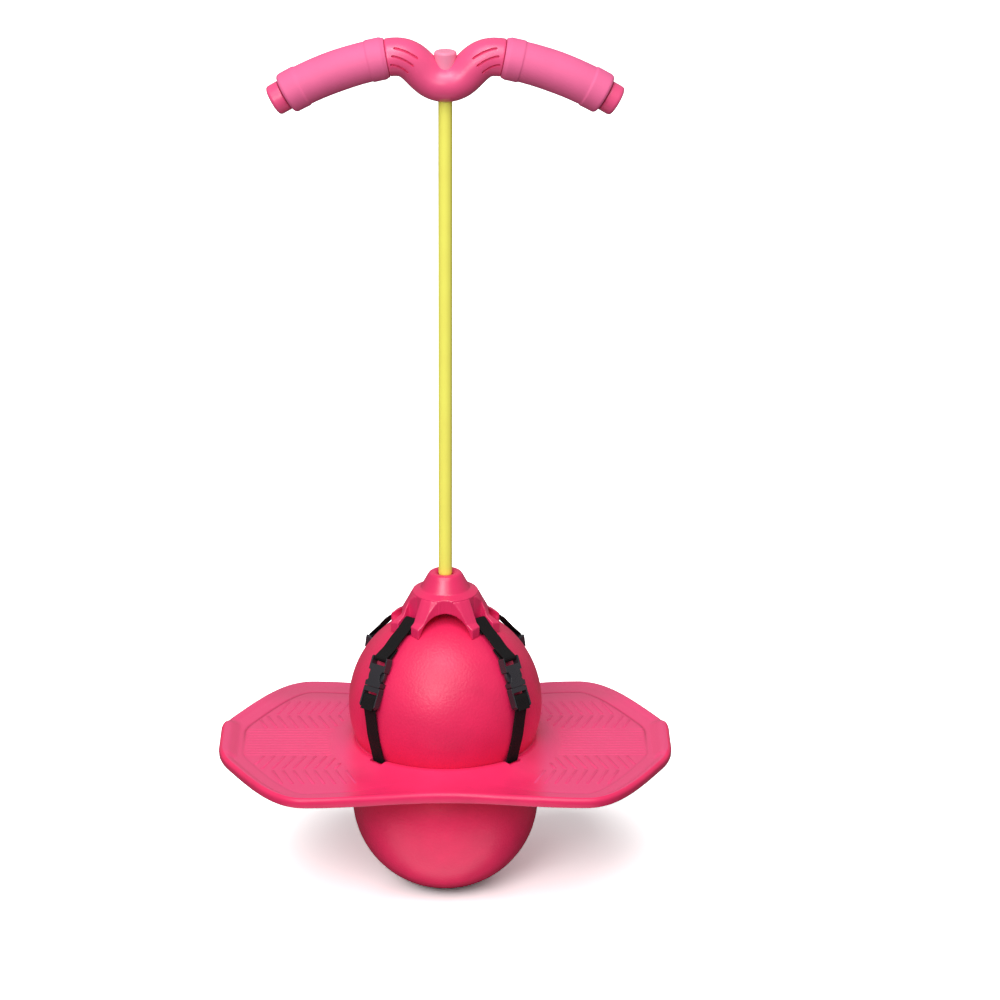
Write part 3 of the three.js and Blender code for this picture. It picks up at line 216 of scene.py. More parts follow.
def shape(name, material, *skins, sharp=40.0):
    """One object of closed skins, moved from millimetres above the ground into the frame."""
    vertices = np.concatenate([points for points, _ in skins])
    starts = np.cumsum([0] + [len(points) for points, _ in skins]).tolist()
    faces = []
    for start, (_, part) in zip(starts, skins):
        faces += [[start + index for index in face] for face in part]
    return solid(name, material, vertices * MILLIMETRE + (0.0, 0.0, GROUND), faces, sharp)


def full_turn(count):
    """Angles at equal steps round one turn."""
    return np.linspace(0.0, 2.0 * np.pi, count, endpoint=False)


def run(path):
    """Distance along a path at each of its points: the lengths of the steps before it, summed."""
    return np.concatenate([[0.0], np.cumsum(np.linalg.norm(np.diff(path, axis=0), axis=1))])


def turned(profile, segments, origin=(0.0, 0.0, 0.0), axis=(0.0, 0.0, 1.0)):
    """A profile of (radius, height) carried round an axis from an origin: each row is one circle."""
    axis = np.asarray(axis) / np.linalg.norm(axis)
    side = np.cross(axis, (0.0, 1.0, 0.0) if abs(axis[2]) > 0.9 else (0.0, 0.0, 1.0))
    side /= np.linalg.norm(side)
    angle = full_turn(segments)[:, None]
    spokes = np.cos(angle) * side + np.sin(angle) * np.cross(axis, side)
    radius, height = np.asarray(profile, dtype=float).T[:, :, None, None]
    return np.asarray(origin) + radius * spokes + height * axis


def evenly(path, count):
    """A path through the given points, cut again at equal distances along it."""
    path = np.asarray(path, dtype=float)
    along = run(path)
    wanted = np.linspace(0.0, along[-1], count)
    return np.stack([np.interp(wanted, along, values) for values in path.T], axis=-1)


def softened(path, passes):
    """A path with rounded corners: each pass mixes half of a point with a quarter of each neighbour."""
    path = path.copy()
    for _ in range(passes):
        path[1:-1] = 0.25 * path[:-2] + 0.5 * path[1:-1] + 0.25 * path[2:]
    return path


def step(value):
    """Smooth rise from 0 to 1, the value held to these: thrice its square less twice its cube."""
    value = np.clip(value, 0.0, 1.0)
    return value * value * (3.0 - 2.0 * value)


def moulded(name, colour, rough, grain, depth, drift=0.07, gloss=0.35):
    """Moulded plastic or rubber: a slowly drifting colour, and a fine grain in the bump and the shine."""
    material = bpy.data.materials.new(name)
    material.use_nodes = True
    nodes = material.node_tree.nodes
    join = material.node_tree.links.new
    shader = nodes["Principled BSDF"]
    shader.inputs["Specular IOR Level"].default_value = gloss
    place = nodes.new("ShaderNodeTexCoord")
    cloud = nodes.new("ShaderNodeTexNoise")
    cloud.inputs["Scale"].default_value = 28.0
    cloud.inputs["Detail"].default_value = 4.0
    tint = nodes.new("ShaderNodeValToRGB")
    tint.color_ramp.elements[0].position = 0.3
    tint.color_ramp.elements[1].position = 0.7
    tint.color_ramp.elements[0].color = [value * (1.0 - drift) for value in colour] + [1.0]
    tint.color_ramp.elements[1].color = [min(value * (1.0 + drift), 1.0) for value in colour] + [1.0]
    speck = nodes.new("ShaderNodeTexNoise")
    speck.inputs["Scale"].default_value = 1.0 / grain
    speck.inputs["Detail"].default_value = 2.0
    shine = nodes.new("ShaderNodeMapRange")
    shine.inputs["To Min"].default_value = rough - 0.07
    shine.inputs["To Max"].default_value = rough + 0.07
    bump = nodes.new("ShaderNodeBump")
    bump.inputs["Strength"].default_value = 0.5
    bump.inputs["Distance"].default_value = depth
    for texture in (cloud, speck):
        join(place.outputs["Object"], texture.inputs["Vector"])
    join(cloud.outputs["Fac"], tint.inputs["Fac"])
    join(tint.outputs["Color"], shader.inputs["Base Color"])
    join(speck.outputs["Fac"], shine.inputs["Value"])
    join(shine.outputs["Result"], shader.inputs["Roughness"])
    join(speck.outputs["Fac"], bump.inputs["Height"])
    join(bump.outputs["Normal"], shader.inputs["Normal"])
    return material


def ball_radius(height):
    """Radius of the ball at a height: two circles, and the waist's cylinder between them."""
    lower = np.sqrt(np.clip(LOWER_RADIUS**2 - (height - LOWER_CENTRE) ** 2, 0.0, None))
    upper = np.sqrt(np.clip(UPPER_RADIUS**2 - (height - UPPER_CENTRE) ** 2, 0.0, None))
    return np.where(height < WAIST_LOW, lower, np.where(height > WAIST_HIGH, upper, WAIST_RADIUS))


lower_turn = np.linspace(-NEAR_POLE, np.arccos(WAIST_RADIUS / LOWER_RADIUS), 60)
upper_turn = np.linspace(-np.arccos(WAIST_RADIUS / UPPER_RADIUS), NEAR_POLE, 60)
lobes = ((LOWER_RADIUS, LOWER_CENTRE, lower_turn), (UPPER_RADIUS, UPPER_CENTRE, upper_turn))
ball_profile = np.concatenate([
    np.stack([radius * np.cos(turn), centre + radius * np.sin(turn)], axis=-1)
    for radius, centre, turn in lobes
])
ball_points = turned(softened(evenly(ball_profile, count=230), passes=5), segments=192)
valve_axis = np.array([0.0, np.cos(VALVE_LATITUDE), np.sin(VALVE_LATITUDE)])
valve_place = UPPER_MIDDLE + UPPER_RADIUS * valve_axis
from_valve = np.linalg.norm(ball_points - valve_place, axis=-1, keepdims=True)
ball_points = ball_points - DIMPLE_DEPTH * step((DIMPLE_RADIUS - from_valve) / DIMPLE_SLOPE) * valve_axis
vinyl = moulded("ball_vinyl", BALL_PINK, rough=0.4, grain=0.0024, depth=0.0006, gloss=0.45)
ball = shape("ball_skin", vinyl, skin(ball_points))
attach(ball, "base")
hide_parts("ball")

valve_profile = [
    (VALVE_HOLE, -4.0),
    (VALVE_HOLE, -0.9),
    (VALVE_HOLE + 0.6, -0.4),
    (VALVE_RADIUS - 1.4, -0.15),
    (VALVE_RADIUS - 0.4, -0.5),
    (VALVE_RADIUS, -1.3),
    (VALVE_RADIUS, -12.0),
]
valve_points = turned(softened(evenly(valve_profile, 60), 2), 40, valve_place, valve_axis)
valve_rubber = moulded("valve_rubber", VALVE_PINK, rough=0.5, grain=0.0008, depth=0.0001)
valve = shape("valve_plug", valve_rubber, skin(valve_points))
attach(valve, "base")
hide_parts("ball_valve")

# Deck: a lobed foot plate moulded in one piece of hard glossy plastic, with a beaded sloping border, a
# collar round the ball, a lip along each square end, and ribs and strap lugs below. The foot areas are
# paler with a painted sheen, their rear is darker with painted shade, and painted shade darkens the crease
# along the border.
DECK_HALF_LENGTH = 225.0
DECK_HALF_DEPTH = 151.0
DECK_HALF_WAIST = 132.5
DECK_HALF_END = 40.0
CORNER_EASE = 16.0
DECK_LOBE = 137.25
SHOULDER_PULL = (197.5, 92.0)
LOBE_PULL_OUT = 172.5
LOBE_PULL_IN = 82.35
WAIST_PULL = 54.9
DECK_TOP = WAIST_HIGH - 0.2
DECK_BOTTOM = DECK_TOP - 10.0
DECK_CEILING = DECK_TOP - 6.2
EDGE_ROUND = 4.0
RIM_WALL = 4.0
RIM_RISE = 2.0
RIM_SAG = 3.0
WALL_DRAFT = 0.4
ROOT_EASE = 1.5
FOOT_EASE = 0.6
THROAT_EASE = 1.6
RIM_FOOT = ((0.4, 3.0), (1.2, 1.0), (1.6, 0.3), (2.2, 0.0), (RIM_WALL - 0.6, 0.0), (RIM_WALL, 0.6))
BORDER_START = 5.0
BORDER_END = 24.0
DISH_DEPTH = 2.6
DISH_FADE = (30.0, 105.0)
CREASE_DEPTH = 0.7
CREASE_WIDTH = 1.1
CREASE_IN_FRONT = 0.3
CREASE_FULL = (-20.0, 40.0)
BALL_CLEARANCE = 0.5
THROAT_GAP = 0.15
COLLAR_RISE = 7.5
COLLAR_OUTER = WAIST_RADIUS + BALL_CLEARANCE + 5.0
COLLAR_FLAT = 3.0
COLLAR_SPREAD = 38.0
COLLAR_SIDE_SPREAD = 20.0
COLLAR_SIDE = (0.45, 0.95)
COLLAR_EASE = ((0.5,), (0.15,))
LIP_RISE = 4.2
LIP_REACH = 21.0
LIP_HALF = 49.0
LIP_SLOPE = 14.0
BEAD_RISE = 2.4
BEAD_WIDTH = 8.0
BEAD_FADE = (40.0, 110.0)
BEAD_LOST_BEHIND = 0.55
BEAD_LOSS = (-60.0, 60.0)
STRAP_AZIMUTH = np.radians(47.0)
STRAP_TILT = np.radians(4.5)
STRAP_SLOT = 18.4
NOTCH_REACH = 96.8
NOTCH_EASE = 1.1
NOTCH_WALL = 4.0
PIN_PLACE = np.array([92.7, (DECK_TOP - 9.5 - UPPER_CENTRE) / np.cos(STRAP_TILT)])
LUG_MIDDLE = 93.1
LUG_REACH = 4.6
LUG_HALF = 1.5
LUG_BELOW_PIN = 5.0
LUG_ROOT = 1.0
RIB_HALF = 1.2
RIB_END_RISE = 2.4
RIB_RECESS = 0.3
RIB_ROOT = 0.5
RIB_OVERLAP = 0.3
FOOT_RIB_START = 105.0
FOOT_RIB_SPACING = 44.0
CROSS_RIBS = (0.2, 1.2)
SPOKE_TURNS = (68.0, 90.0, 112.0)
FOOT_FADE = (84.0, 104.0)
REAR_FADE = (88.0, 128.0)
# Strength of the painted shade in the border's crease.
CREASE_SHADE_STRENGTH = 0.8
DECK_PINK = (0.84, 0.028, 0.130)
# Paler colour of the foot areas: a painted sheen.
FOOT_SHEEN_PINK = (0.79, 0.066, 0.196)
# Darker colour towards the rear of the foot areas: painted shade.
REAR_SHADE_PINK = (0.63, 0.074, 0.172)
# Colour of the painted shade in the crease.
CREASE_SHADE_PINK = (0.42, 0.026, 0.085)
CORNERS = {"front_left": (-1, -1), "front_right": (1, -1), "rear_left": (-1, 1), "rear_right": (1, 1)}


def unit(rows):
    """Vectors in rows, each brought to length one."""
    return rows / np.linalg.norm(rows, axis=1, keepdims=True)


def between(value, ends):
    """Smooth rise from 0 to 1 as the value goes from one end to the other."""
    return step((value - ends[0]) / (ends[1] - ends[0]))


def bezier(*controls, count):
    """Points on the curve that a row of control points pulls, by repeated shares between neighbours."""
    share = np.linspace(0.0, 1.0, count)[:, None, None]
    level = np.repeat(np.asarray(controls, dtype=float)[None], count, axis=0)
    while level.shape[1] > 1:
        level = level[:, :-1] * (1.0 - share) + level[:, 1:] * share
    return level[:, 0]


def corner_axes(side_x, side_y):
    """A strap plane's directions: out from the ball, up along the strap's lean, and across the strap."""
    out = np.array([side_x * np.sin(STRAP_AZIMUTH), side_y * np.cos(STRAP_AZIMUTH), 0.0])
    lean = np.array([side_x * np.cos(STRAP_AZIMUTH), -side_y * np.sin(STRAP_AZIMUTH), 0.0])
    up = np.array([0.0, 0.0, np.cos(STRAP_TILT)]) + lean * np.sin(STRAP_TILT)
    return out, up, np.cross(out, up)


end_middle = (DECK_HALF_LENGTH, 0.0)
end_ease = (DECK_HALF_LENGTH, DECK_HALF_END - CORNER_EASE)
end_corner = (DECK_HALF_LENGTH, DECK_HALF_END)
lobe_top = (DECK_LOBE, DECK_HALF_DEPTH)
shoulder = bezier(end_corner, SHOULDER_PULL, (LOBE_PULL_OUT, DECK_HALF_DEPTH), lobe_top, count=80)
sway = bezier(
    lobe_top,
    (LOBE_PULL_IN, DECK_HALF_DEPTH),
    (WAIST_PULL, DECK_HALF_WAIST),
    (0.0, DECK_HALF_WAIST),
    count=60,
)
corner_round = bezier(end_ease, end_corner, shoulder[10], count=14)
quarter = np.concatenate([[end_middle], corner_round, shoulder[11:], sway[1:]])
back_edge = np.concatenate([quarter, quarter[-2::-1] * (-1.0, 1.0)])
outline = evenly(np.concatenate([back_edge, back_edge[-2::-1] * (1.0, -1.0)]), 541)[:-1]
edge_along = unit(np.roll(outline, -1, axis=0) - np.roll(outline, 1, axis=0))
edge_in = np.stack([-edge_along[:, 1], edge_along[:, 0]], axis=-1)
edge_in *= np.sign(-np.sum(edge_in * outline, axis=1, keepdims=True))


def from_edge(points):
    """Distance of points in plan from the nearest point of the deck's outline."""
    return np.stack([np.linalg.norm(row[:, None] - outline[None], axis=-1).min(axis=1) for row in points])


def creased(plan):
    """A groove's share over points in plan: a bell curve across the border's inner edge, fullest behind."""
    groove = np.exp(-(((from_edge(plan) - BORDER_END) / CREASE_WIDTH) ** 2))
    return groove * (CREASE_IN_FRONT + (1.0 - CREASE_IN_FRONT) * between(plan[..., 1], CREASE_FULL))


def deck_height(plan):
    """Height of the deck's top in plan: the collar, plus the bead less dish and crease outside the lips."""
    radius = np.linalg.norm(plan, axis=-1)
    aside = np.abs(plan[..., 0])
    sideways = between(aside / np.maximum(radius, 1.0), COLLAR_SIDE)
    spread = COLLAR_SPREAD + (COLLAR_SIDE_SPREAD - COLLAR_SPREAD) * sideways
    collar = COLLAR_RISE * (1.0 - np.clip((radius - COLLAR_OUTER - COLLAR_FLAT) / spread, 0.0, 1.0)) ** 2
    inward = from_edge(plan)
    fade = between(aside, DISH_FADE)
    dish = DISH_DEPTH * np.clip((inward - BORDER_START) / (BORDER_END - BORDER_START), 0.0, 1.0)
    crease = CREASE_DEPTH * creased(plan)
    lip = step((aside - DECK_HALF_LENGTH + LIP_REACH) / LIP_SLOPE)
    lip = lip * step((LIP_HALF - np.abs(plan[..., 1])) / LIP_SLOPE)
    bead = step(1.0 - (inward - EDGE_ROUND) / BEAD_WIDTH) * between(aside, BEAD_FADE)
    bead = BEAD_RISE * bead * (1.0 - BEAD_LOST_BEHIND * between(plan[..., 1], BEAD_LOSS))
    raised = bead - (dish + crease) * fade
    return DECK_TOP + collar + raised * (1.0 - lip) + LIP_RISE * lip


edge_round_start = outline + EDGE_ROUND * edge_in
spoke = unit(edge_round_start)
notch_share = np.zeros(len(outline))
notch_radius = np.full(len(outline), WAIST_RADIUS)
lean_shift = (DECK_TOP - UPPER_CENTRE) * np.tan(STRAP_TILT)
for side_x, side_y in CORNERS.values():
    lean = np.array([side_x * np.cos(STRAP_AZIMUTH), -side_y * np.sin(STRAP_AZIMUTH)])
    off_axis = np.abs(NOTCH_REACH * (spoke @ lean) - lean_shift)
    facing = spoke @ corner_axes(side_x, side_y)[0][:2]
    share = step((0.5 * STRAP_SLOT - off_axis) / NOTCH_EASE) * (facing > 0.5)
    notch_radius = np.where(share > notch_share, NOTCH_REACH / np.maximum(facing, 0.5), notch_radius)
    notch_share = np.maximum(notch_share, share)


def throat_row(height):
    """One ring of the hole's wall: just off the ball, and further out in the straps' notches."""
    radius = ball_radius(np.array(height)) + THROAT_GAP
    reach = radius + (notch_radius - radius) * notch_share
    return np.column_stack([spoke * reach[:, None], np.full(len(spoke), height)])


def level_row(plan, height):
    """One ring of points in plan at a height, or at a height for each point."""
    return np.column_stack([plan, np.broadcast_to(height, len(plan))])


def to_rim(start, way):
    """Distance in plan from a point, along a direction, to the first step that meets the rim's wall."""
    distance = np.arange(0.0, 2.0 * DECK_HALF_LENGTH, 0.5)
    points = start + distance[:, None] * way
    turn = np.arctan2(points[:, 1], points[:, 0])
    edge_turn = np.arctan2(outline[:, 1], outline[:, 0])
    reach = np.interp(turn, edge_turn, np.linalg.norm(outline, axis=1), period=2.0 * np.pi)
    return distance[np.argmin(np.linalg.norm(points, axis=1) < reach - RIM_WALL)]


def block(middle, halves, axes):
    """A box about a middle point, by its half sizes along three directions."""
    signs = 2.0 * np.indices((2, 2, 2)).reshape(3, -1).T - 1.0
    faces = [[0, 1, 3, 2], [4, 6, 7, 5], [0, 4, 5, 1], [2, 3, 7, 6], [0, 2, 6, 4], [1, 5, 7, 3]]
    return middle + (signs * halves) @ np.asarray(axes), faces


def rib(start, way):
    """A thin wall under the deck from a point in plan to the rim, shallower towards the rim."""
    length = to_rim(start, way)
    heights = np.array([DECK_BOTTOM + RIB_RECESS, DECK_CEILING + RIB_ROOT])
    middle = np.append(start + 0.5 * length * way, heights.mean())
    halves = (0.5 * length + RIB_OVERLAP, RIB_HALF, 0.5 * np.ptp(heights))
    points, faces = block(middle, halves, [np.append(way, 0.0), (-way[1], way[0], 0.0), (0.0, 0.0, 1.0)])
    points[[4, 6], 2] += RIB_END_RISE
    return points, faces


collar_top = DECK_TOP + COLLAR_RISE
collar_edge = throat_row(collar_top)[:, :2]
top_shares = np.concatenate([[0.0], 0.012 * np.array([0.4, 1.0, 2.0]), np.linspace(0.03, 1.0, 110)])
top_plan = collar_edge + top_shares[:, None, None] * (edge_round_start - collar_edge)
top_heights = deck_height(top_plan)
top_heights[:2] -= COLLAR_EASE
rim_height = top_heights[-1]
deck_rows = [level_row(plan, heights) for plan, heights in zip(top_plan, top_heights)]
for turn in np.radians([15.0, 30.0, 45.0, 60.0, 75.0, 90.0]):
    rim_plan = outline + EDGE_ROUND * (1.0 - np.sin(turn)) * edge_in
    deck_rows.append(level_row(rim_plan, rim_height - EDGE_ROUND * (1.0 - np.cos(turn))))
rim_bottom = DECK_BOTTOM + RIM_RISE - RIM_SAG * step(1.0 - np.abs(outline[:, 0]) / DECK_LOBE)
for inward, rise in RIM_FOOT:
    deck_rows.append(level_row(outline + inward * edge_in, rim_bottom + rise))
wall_top = outline + (RIM_WALL + WALL_DRAFT) * edge_in
deck_rows.append(level_row(wall_top, DECK_CEILING - ROOT_EASE))
collar_outer = np.maximum(COLLAR_OUTER, (notch_radius + NOTCH_WALL) * notch_share)
collar_plan = spoke * collar_outer[:, None]
for share in np.linspace(0.02, 0.98, 10):
    deck_rows.append(level_row(wall_top + share * (collar_plan - wall_top), DECK_CEILING))
deck_rows.append(level_row(collar_plan, DECK_CEILING - ROOT_EASE))
deck_rows.append(level_row(collar_plan, DECK_BOTTOM + FOOT_EASE))
deck_rows.append(level_row(collar_plan - FOOT_EASE * spoke, DECK_BOTTOM))
deck_rows += [throat_row(height) for height in np.linspace(DECK_BOTTOM, collar_top - THROAT_EASE, 9)]

rib_skins = []
for side in (-1.0, 1.0):
    for y in (-FOOT_RIB_SPACING, 0.0, FOOT_RIB_SPACING):
        rib_skins.append(rib(np.array([side * FOOT_RIB_START, y]), np.array([side, 0.0])))
    for share in CROSS_RIBS:
        start = np.array([side * (FOOT_RIB_START + share * FOOT_RIB_SPACING), 0.0])
        rib_skins += [rib(start, np.array([0.0, way])) for way in (-1.0, 1.0)]
    for turn in np.radians(SPOKE_TURNS):
        way = np.array([np.cos(turn), side * np.sin(turn)])
        rib_skins.append(rib((COLLAR_OUTER - RIB_ROOT) * way, way))
lug_low = PIN_PLACE[1] - LUG_BELOW_PIN
lug_high = (DECK_CEILING + LUG_ROOT - UPPER_CENTRE) / np.cos(STRAP_TILT)
for sides in CORNERS.values():
    out, up, across = corner_axes(*sides)
    lug_middle = LUG_MIDDLE * out + 0.5 * (lug_low + lug_high) * up + UPPER_MIDDLE
    lug_halves = (LUG_REACH, 0.5 * (lug_high - lug_low), LUG_HALF)
    for side in (-1.0, 1.0):
        lug_side = side * (STRAP_SLOT / 2 + LUG_HALF) * across
        rib_skins.append(block(lug_middle + lug_side, lug_halves, (out, up, across)))

deck_plastic = moulded("deck_plastic", DECK_PINK, rough=0.34, grain=0.0007, depth=0.00012)
deck = shape("deck_plate", deck_plastic, skin(np.array(deck_rows), looped=True, capped=False), *rib_skins)
foot_share = between(np.abs(top_plan[..., 0]), FOOT_FADE)
# The deck's colour is mixed with painted light: a painted sheen on the foot areas, painted shade towards
# their rear, and painted shade in the crease.
tints = (
    ("foot", FOOT_SHEEN_PINK, foot_share),
    ("rear", REAR_SHADE_PINK, foot_share * between(top_plan[..., 1], REAR_FADE)),
    ("crease_shade", CREASE_SHADE_PINK, CREASE_SHADE_STRENGTH * foot_share * creased(top_plan)),
)
deck_nodes = deck_plastic.node_tree.nodes
deck_join = deck_plastic.node_tree.links.new
deck_colour = deck_nodes["Principled BSDF"].inputs["Base Color"]
for name, colour, share in tints:
    values = np.zeros(len(deck.data.vertices))
    values[: share.size] = share.ravel()
    deck.data.attributes.new(name, "FLOAT", "POINT").data.foreach_set("value", values)
    mask = deck_nodes.new("ShaderNodeAttribute")
    mask.attribute_name = name
    painted_tint = deck_nodes.new("ShaderNodeMixRGB")
    painted_tint.inputs["Color2"].default_value = (*colour, 1.0)
    deck_join(mask.outputs["Fac"], painted_tint.inputs["Fac"])
    deck_join(deck_colour.links[0].from_socket, painted_tint.inputs["Color1"])
    deck_join(painted_tint.outputs["Color"], deck_colour)
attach(deck, "base")
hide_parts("deck")

# Treads: low ribs moulded on the foot areas, fine straight ones along the middle and chevrons beside them.
# They stand on the dished floor and end where the collar or the border begins to rise.
FLOOR_HEIGHT = DECK_TOP - DISH_DEPTH
CHEVRON_HEIGHT = 0.55
CHEVRON_HALF_WIDTH = 1.6
RIB_HEIGHT = 0.3
RIB_HALF_WIDTH = 0.8
# Chevron colour: the foot areas' painted sheen, a little darker as painted shade on the strokes.
CHEVRON_SHADE_PINK = (0.77, 0.060, 0.186)
RIB_PITCH = 6.4
RIB_COUNT = 11
RIB_MARGIN = 1.0
TREAD_RINGS = ((0.0, 0.45), (0.03, 1.0), (0.97, 1.0), (1.0, 0.45))
CHEVRON_START = 87.0
CHEVRON_PITCH = 10.3
CHEVRON_COUNT = 13
CHEVRON_MARGIN = 2.5
CHEVRON_SAMPLES = 25
CHEVRON_LEAST = 7
CHEVRON_LEAN = 11.0
CHEVRON_BANDS = ((35.0, 66.0), (70.0, 103.0))
COLLAR_FOOT = 116.0


def low_rib(start, end, half_width, height):
    """A low rounded rib between two points in plan: an oval carried along it and drawn in at its ends."""
    along = (end - start) / np.linalg.norm(end - start)
    aside = np.array([-along[1], along[0]])
    turn = full_turn(8)
    rings = []
    for share, size in TREAD_RINGS:
        middle = start + share * (end - start)
        plan = middle + size * half_width * np.cos(turn)[:, None] * aside
        rings.append(level_row(plan, FLOOR_HEIGHT + size * height * np.sin(turn)))
    return skin(np.array(rings))


rib_treads = []
chevrons = []
for side in (-1.0, 1.0):
    for index in range(RIB_COUNT):
        y = (index - (RIB_COUNT - 1) / 2) * RIB_PITCH
        start = np.array([side * np.sqrt(COLLAR_FOOT**2 - y**2), y])
        end = np.array([side * (DECK_HALF_LENGTH - BORDER_END - RIB_MARGIN), y])
        rib_treads.append(low_rib(start, end, RIB_HALF_WIDTH, RIB_HEIGHT))
    for front_side in (-1.0, 1.0):
        for (near, far), near_x, far_x in zip(CHEVRON_BANDS, (0.0, CHEVRON_LEAN), (CHEVRON_LEAN, 0.0)):
            for index in range(CHEVRON_COUNT):
                x = CHEVRON_START + CHEVRON_PITCH * index
                start = np.array([side * (x + near_x), front_side * near])
                end = np.array([side * (x + far_x), front_side * far])
                stroke = start + np.linspace(0.0, 1.0, CHEVRON_SAMPLES)[:, None] * (end - start)
                on_floor = from_edge(stroke[None])[0] > BORDER_END + CHEVRON_MARGIN
                stroke = stroke[on_floor & (np.linalg.norm(stroke, axis=1) > COLLAR_FOOT)]
                if len(stroke) > CHEVRON_LEAST:
                    chevrons.append(low_rib(stroke[0], stroke[-1], CHEVRON_HALF_WIDTH, CHEVRON_HEIGHT))
# The treads carry painted light: the ribs the foot areas' painted sheen, the chevrons that sheen a little
# darker as painted shade.
sheened_rib_plastic = moulded("sheened_rib_plastic", FOOT_SHEEN_PINK, rough=0.42, grain=0.0007, depth=0.0001)
shaded_chevron_plastic = moulded("shaded_chevron_plastic", CHEVRON_SHADE_PINK, rough=0.42, grain=0.0007, depth=0.0001)
tread_sets = (("foot_treads", sheened_rib_plastic, rib_treads), ("foot_chevrons", shaded_chevron_plastic, chevrons))
for name, material, skins in tread_sets:
    treads = shape(name, material, *skins)
    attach(treads, "base")

# Rope: a smooth round length of yellow rubber cord, taut from the bracket's boss to the handle's saddle.
# Its crimped ends, with a ferrule and a washer each, are hidden in the boss and under the saddle's cap.
ROPE_RADIUS = 6.75
ROPE_LENGTH = 475.0
BOSS_RISE = 42.0
BOSS_TOP = UPPER_CENTRE + UPPER_RADIUS + BOSS_RISE
ROPE_YELLOW = (1.0, 0.94, 0.15)
ZINC_GREY = (0.55, 0.56, 0.58)

rope_round = np.linspace(-np.pi / 2 + 0.02, 0.0, 8)
rope_end = np.stack([ROPE_RADIUS * np.cos(rope_round), ROPE_RADIUS * np.sin(rope_round)], axis=-1)
rope_run = np.column_stack([np.full(60, ROPE_RADIUS), np.linspace(0.0, ROPE_LENGTH, 60)])
rope_top = rope_end[-2::-1] * (1.0, -1.0) + (0.0, ROPE_LENGTH)
rope_profile = np.concatenate([rope_end[:-1], rope_run, rope_top])
rope_rubber = moulded("rope_rubber", ROPE_YELLOW, rough=0.42, grain=0.0009, depth=0.0001, drift=0.03)
rope = shape("rope_cord", rope_rubber, skin(turned(rope_profile, 40, (0.0, 0.0, BOSS_TOP))))
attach(rope, "rope")
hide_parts("rope")
for name in ("rope_upper_end", "rope_lower_end"):
    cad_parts[name].material_slots[0].material = rope_rubber
zinc = moulded("zinc_plate", ZINC_GREY, rough=0.32, grain=0.0004, depth=0.00004)
zinc.node_tree.nodes["Principled BSDF"].inputs["Metallic"].default_value = 1.0
for name in ("upper_ferrule", "lower_ferrule", "upper_washer", "lower_washer"):
    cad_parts[name].material_slots[0].material = zinc

# Bracket: a four-legged plastic moulding on the ball's top, with a round boss for the rope and forked legs.
# Its edges are all rounded, as the mould leaves them, and a short round bar crosses each fork for a strap.
BRACKET_PINK = (0.78, 0.020, 0.120)
BRACKET_VOXEL = 0.0006
CAD_SHARP = 32.0
BOSS_REACH = 0.7
BOSS_FADE = 0.4
BOSS_PROFILE = ((32.4, -19.5), (26.4, -17.0), (24.4, -16.0), (17.6, -3.4), (16.0, -1.0), (14.2, 0.0))


def cad_copy(node, name, material, flat=1.0):
    """A copy of a CAD node's mesh with its loose triangles joined and its flat faces made whole."""
    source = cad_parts[node].data
    places = np.empty(3 * len(source.vertices))
    source.vertices.foreach_get("co", places)
    corners = np.empty(3 * len(source.polygons), dtype=int)
    source.polygons.foreach_get("vertices", corners)
    return solid(name, material, places.reshape(-1, 3), corners.reshape(-1, 3).tolist(), CAD_SHARP, flat)


def settled(made):
    """The mesh that an object's modifiers leave, put in place of its first mesh."""
    mesh = bpy.data.meshes.new_from_object(made.evaluated_get(bpy.context.evaluated_depsgraph_get()))
    made.modifiers.clear()
    made.data = mesh
    return mesh


bracket_plastic = moulded("bracket_plastic", BRACKET_PINK, rough=0.3, grain=0.0007, depth=0.0001, gloss=0.7)
bracket = cad_copy("bracket", "bracket_moulding", bracket_plastic, flat=0.05)
remesh = bracket.modifiers.new("even", "REMESH")
remesh.mode = "VOXEL"
remesh.voxel_size = BRACKET_VOXEL
remesh.use_smooth_shade = True
ease = bracket.modifiers.new("ease", "SMOOTH")
ease.factor = 0.5
ease.iterations = 10
even_mesh = settled(bracket)
places = np.empty(3 * len(even_mesh.vertices))
even_mesh.vertices.foreach_get("co", places)
places = places.reshape(-1, 3)
boss_profile = softened(evenly(BOSS_PROFILE, 80), 2)
boss_radius = np.linalg.norm(places[:, :2], axis=1) / MILLIMETRE
boss_height = (places[:, 2] - GROUND) / MILLIMETRE - BOSS_TOP
true_radius = np.interp(boss_height, boss_profile[:, 1], boss_profile[:, 0])
nearness = step((BOSS_REACH - np.abs(boss_radius - true_radius)) / BOSS_FADE)
places[:, :2] *= (1.0 + nearness * (true_radius / np.maximum(boss_radius, 1.0) - 1.0))[:, None]
even_mesh.vertices.foreach_set("co", places.ravel())
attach(bracket, "base")
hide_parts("bracket")

# Straps: woven black webbing. Each upper strap is sewn round the bar in a bracket's leg and a socket's bar.
# Each lower strap comes up from a steel pin under the deck, through the collar's notch, to the plug's bar.
STRAP_WIDTH = 16.0
STRAP_THICKNESS = 1.6
BAR_GAP = 0.3
STRAP_TAIL = 14.0
TAIL_MARGIN = 3.0
RUN_LIFT = 0.5
RUN_END_LIFT = 0.9
COLLAR_LIFT = 0.4
COLLAR_LATITUDE = -8.0
LOBE_LIFT = 0.6
LOBE_LATITUDE = -5.0
STRAP_STEP = 0.8
STRAP_EDGE = 0.4
STRAP_EDGE_SHARE = 0.55
WEAVE_PERIODS = (("X", 0.0013), ("Y", 0.0016))
WAVE_FACTOR = 20.0
PIN_RADIUS = 2.5
PIN_TIP = 1.7
PIN_CHAMFER = 0.6
PIN_SPARE = 0.4
PIN_TAIL = np.array([0.35, 2.4])
LEG_BAR_LATITUDE = 68.0
BRACKET_BAR_RADIUS = 1.75
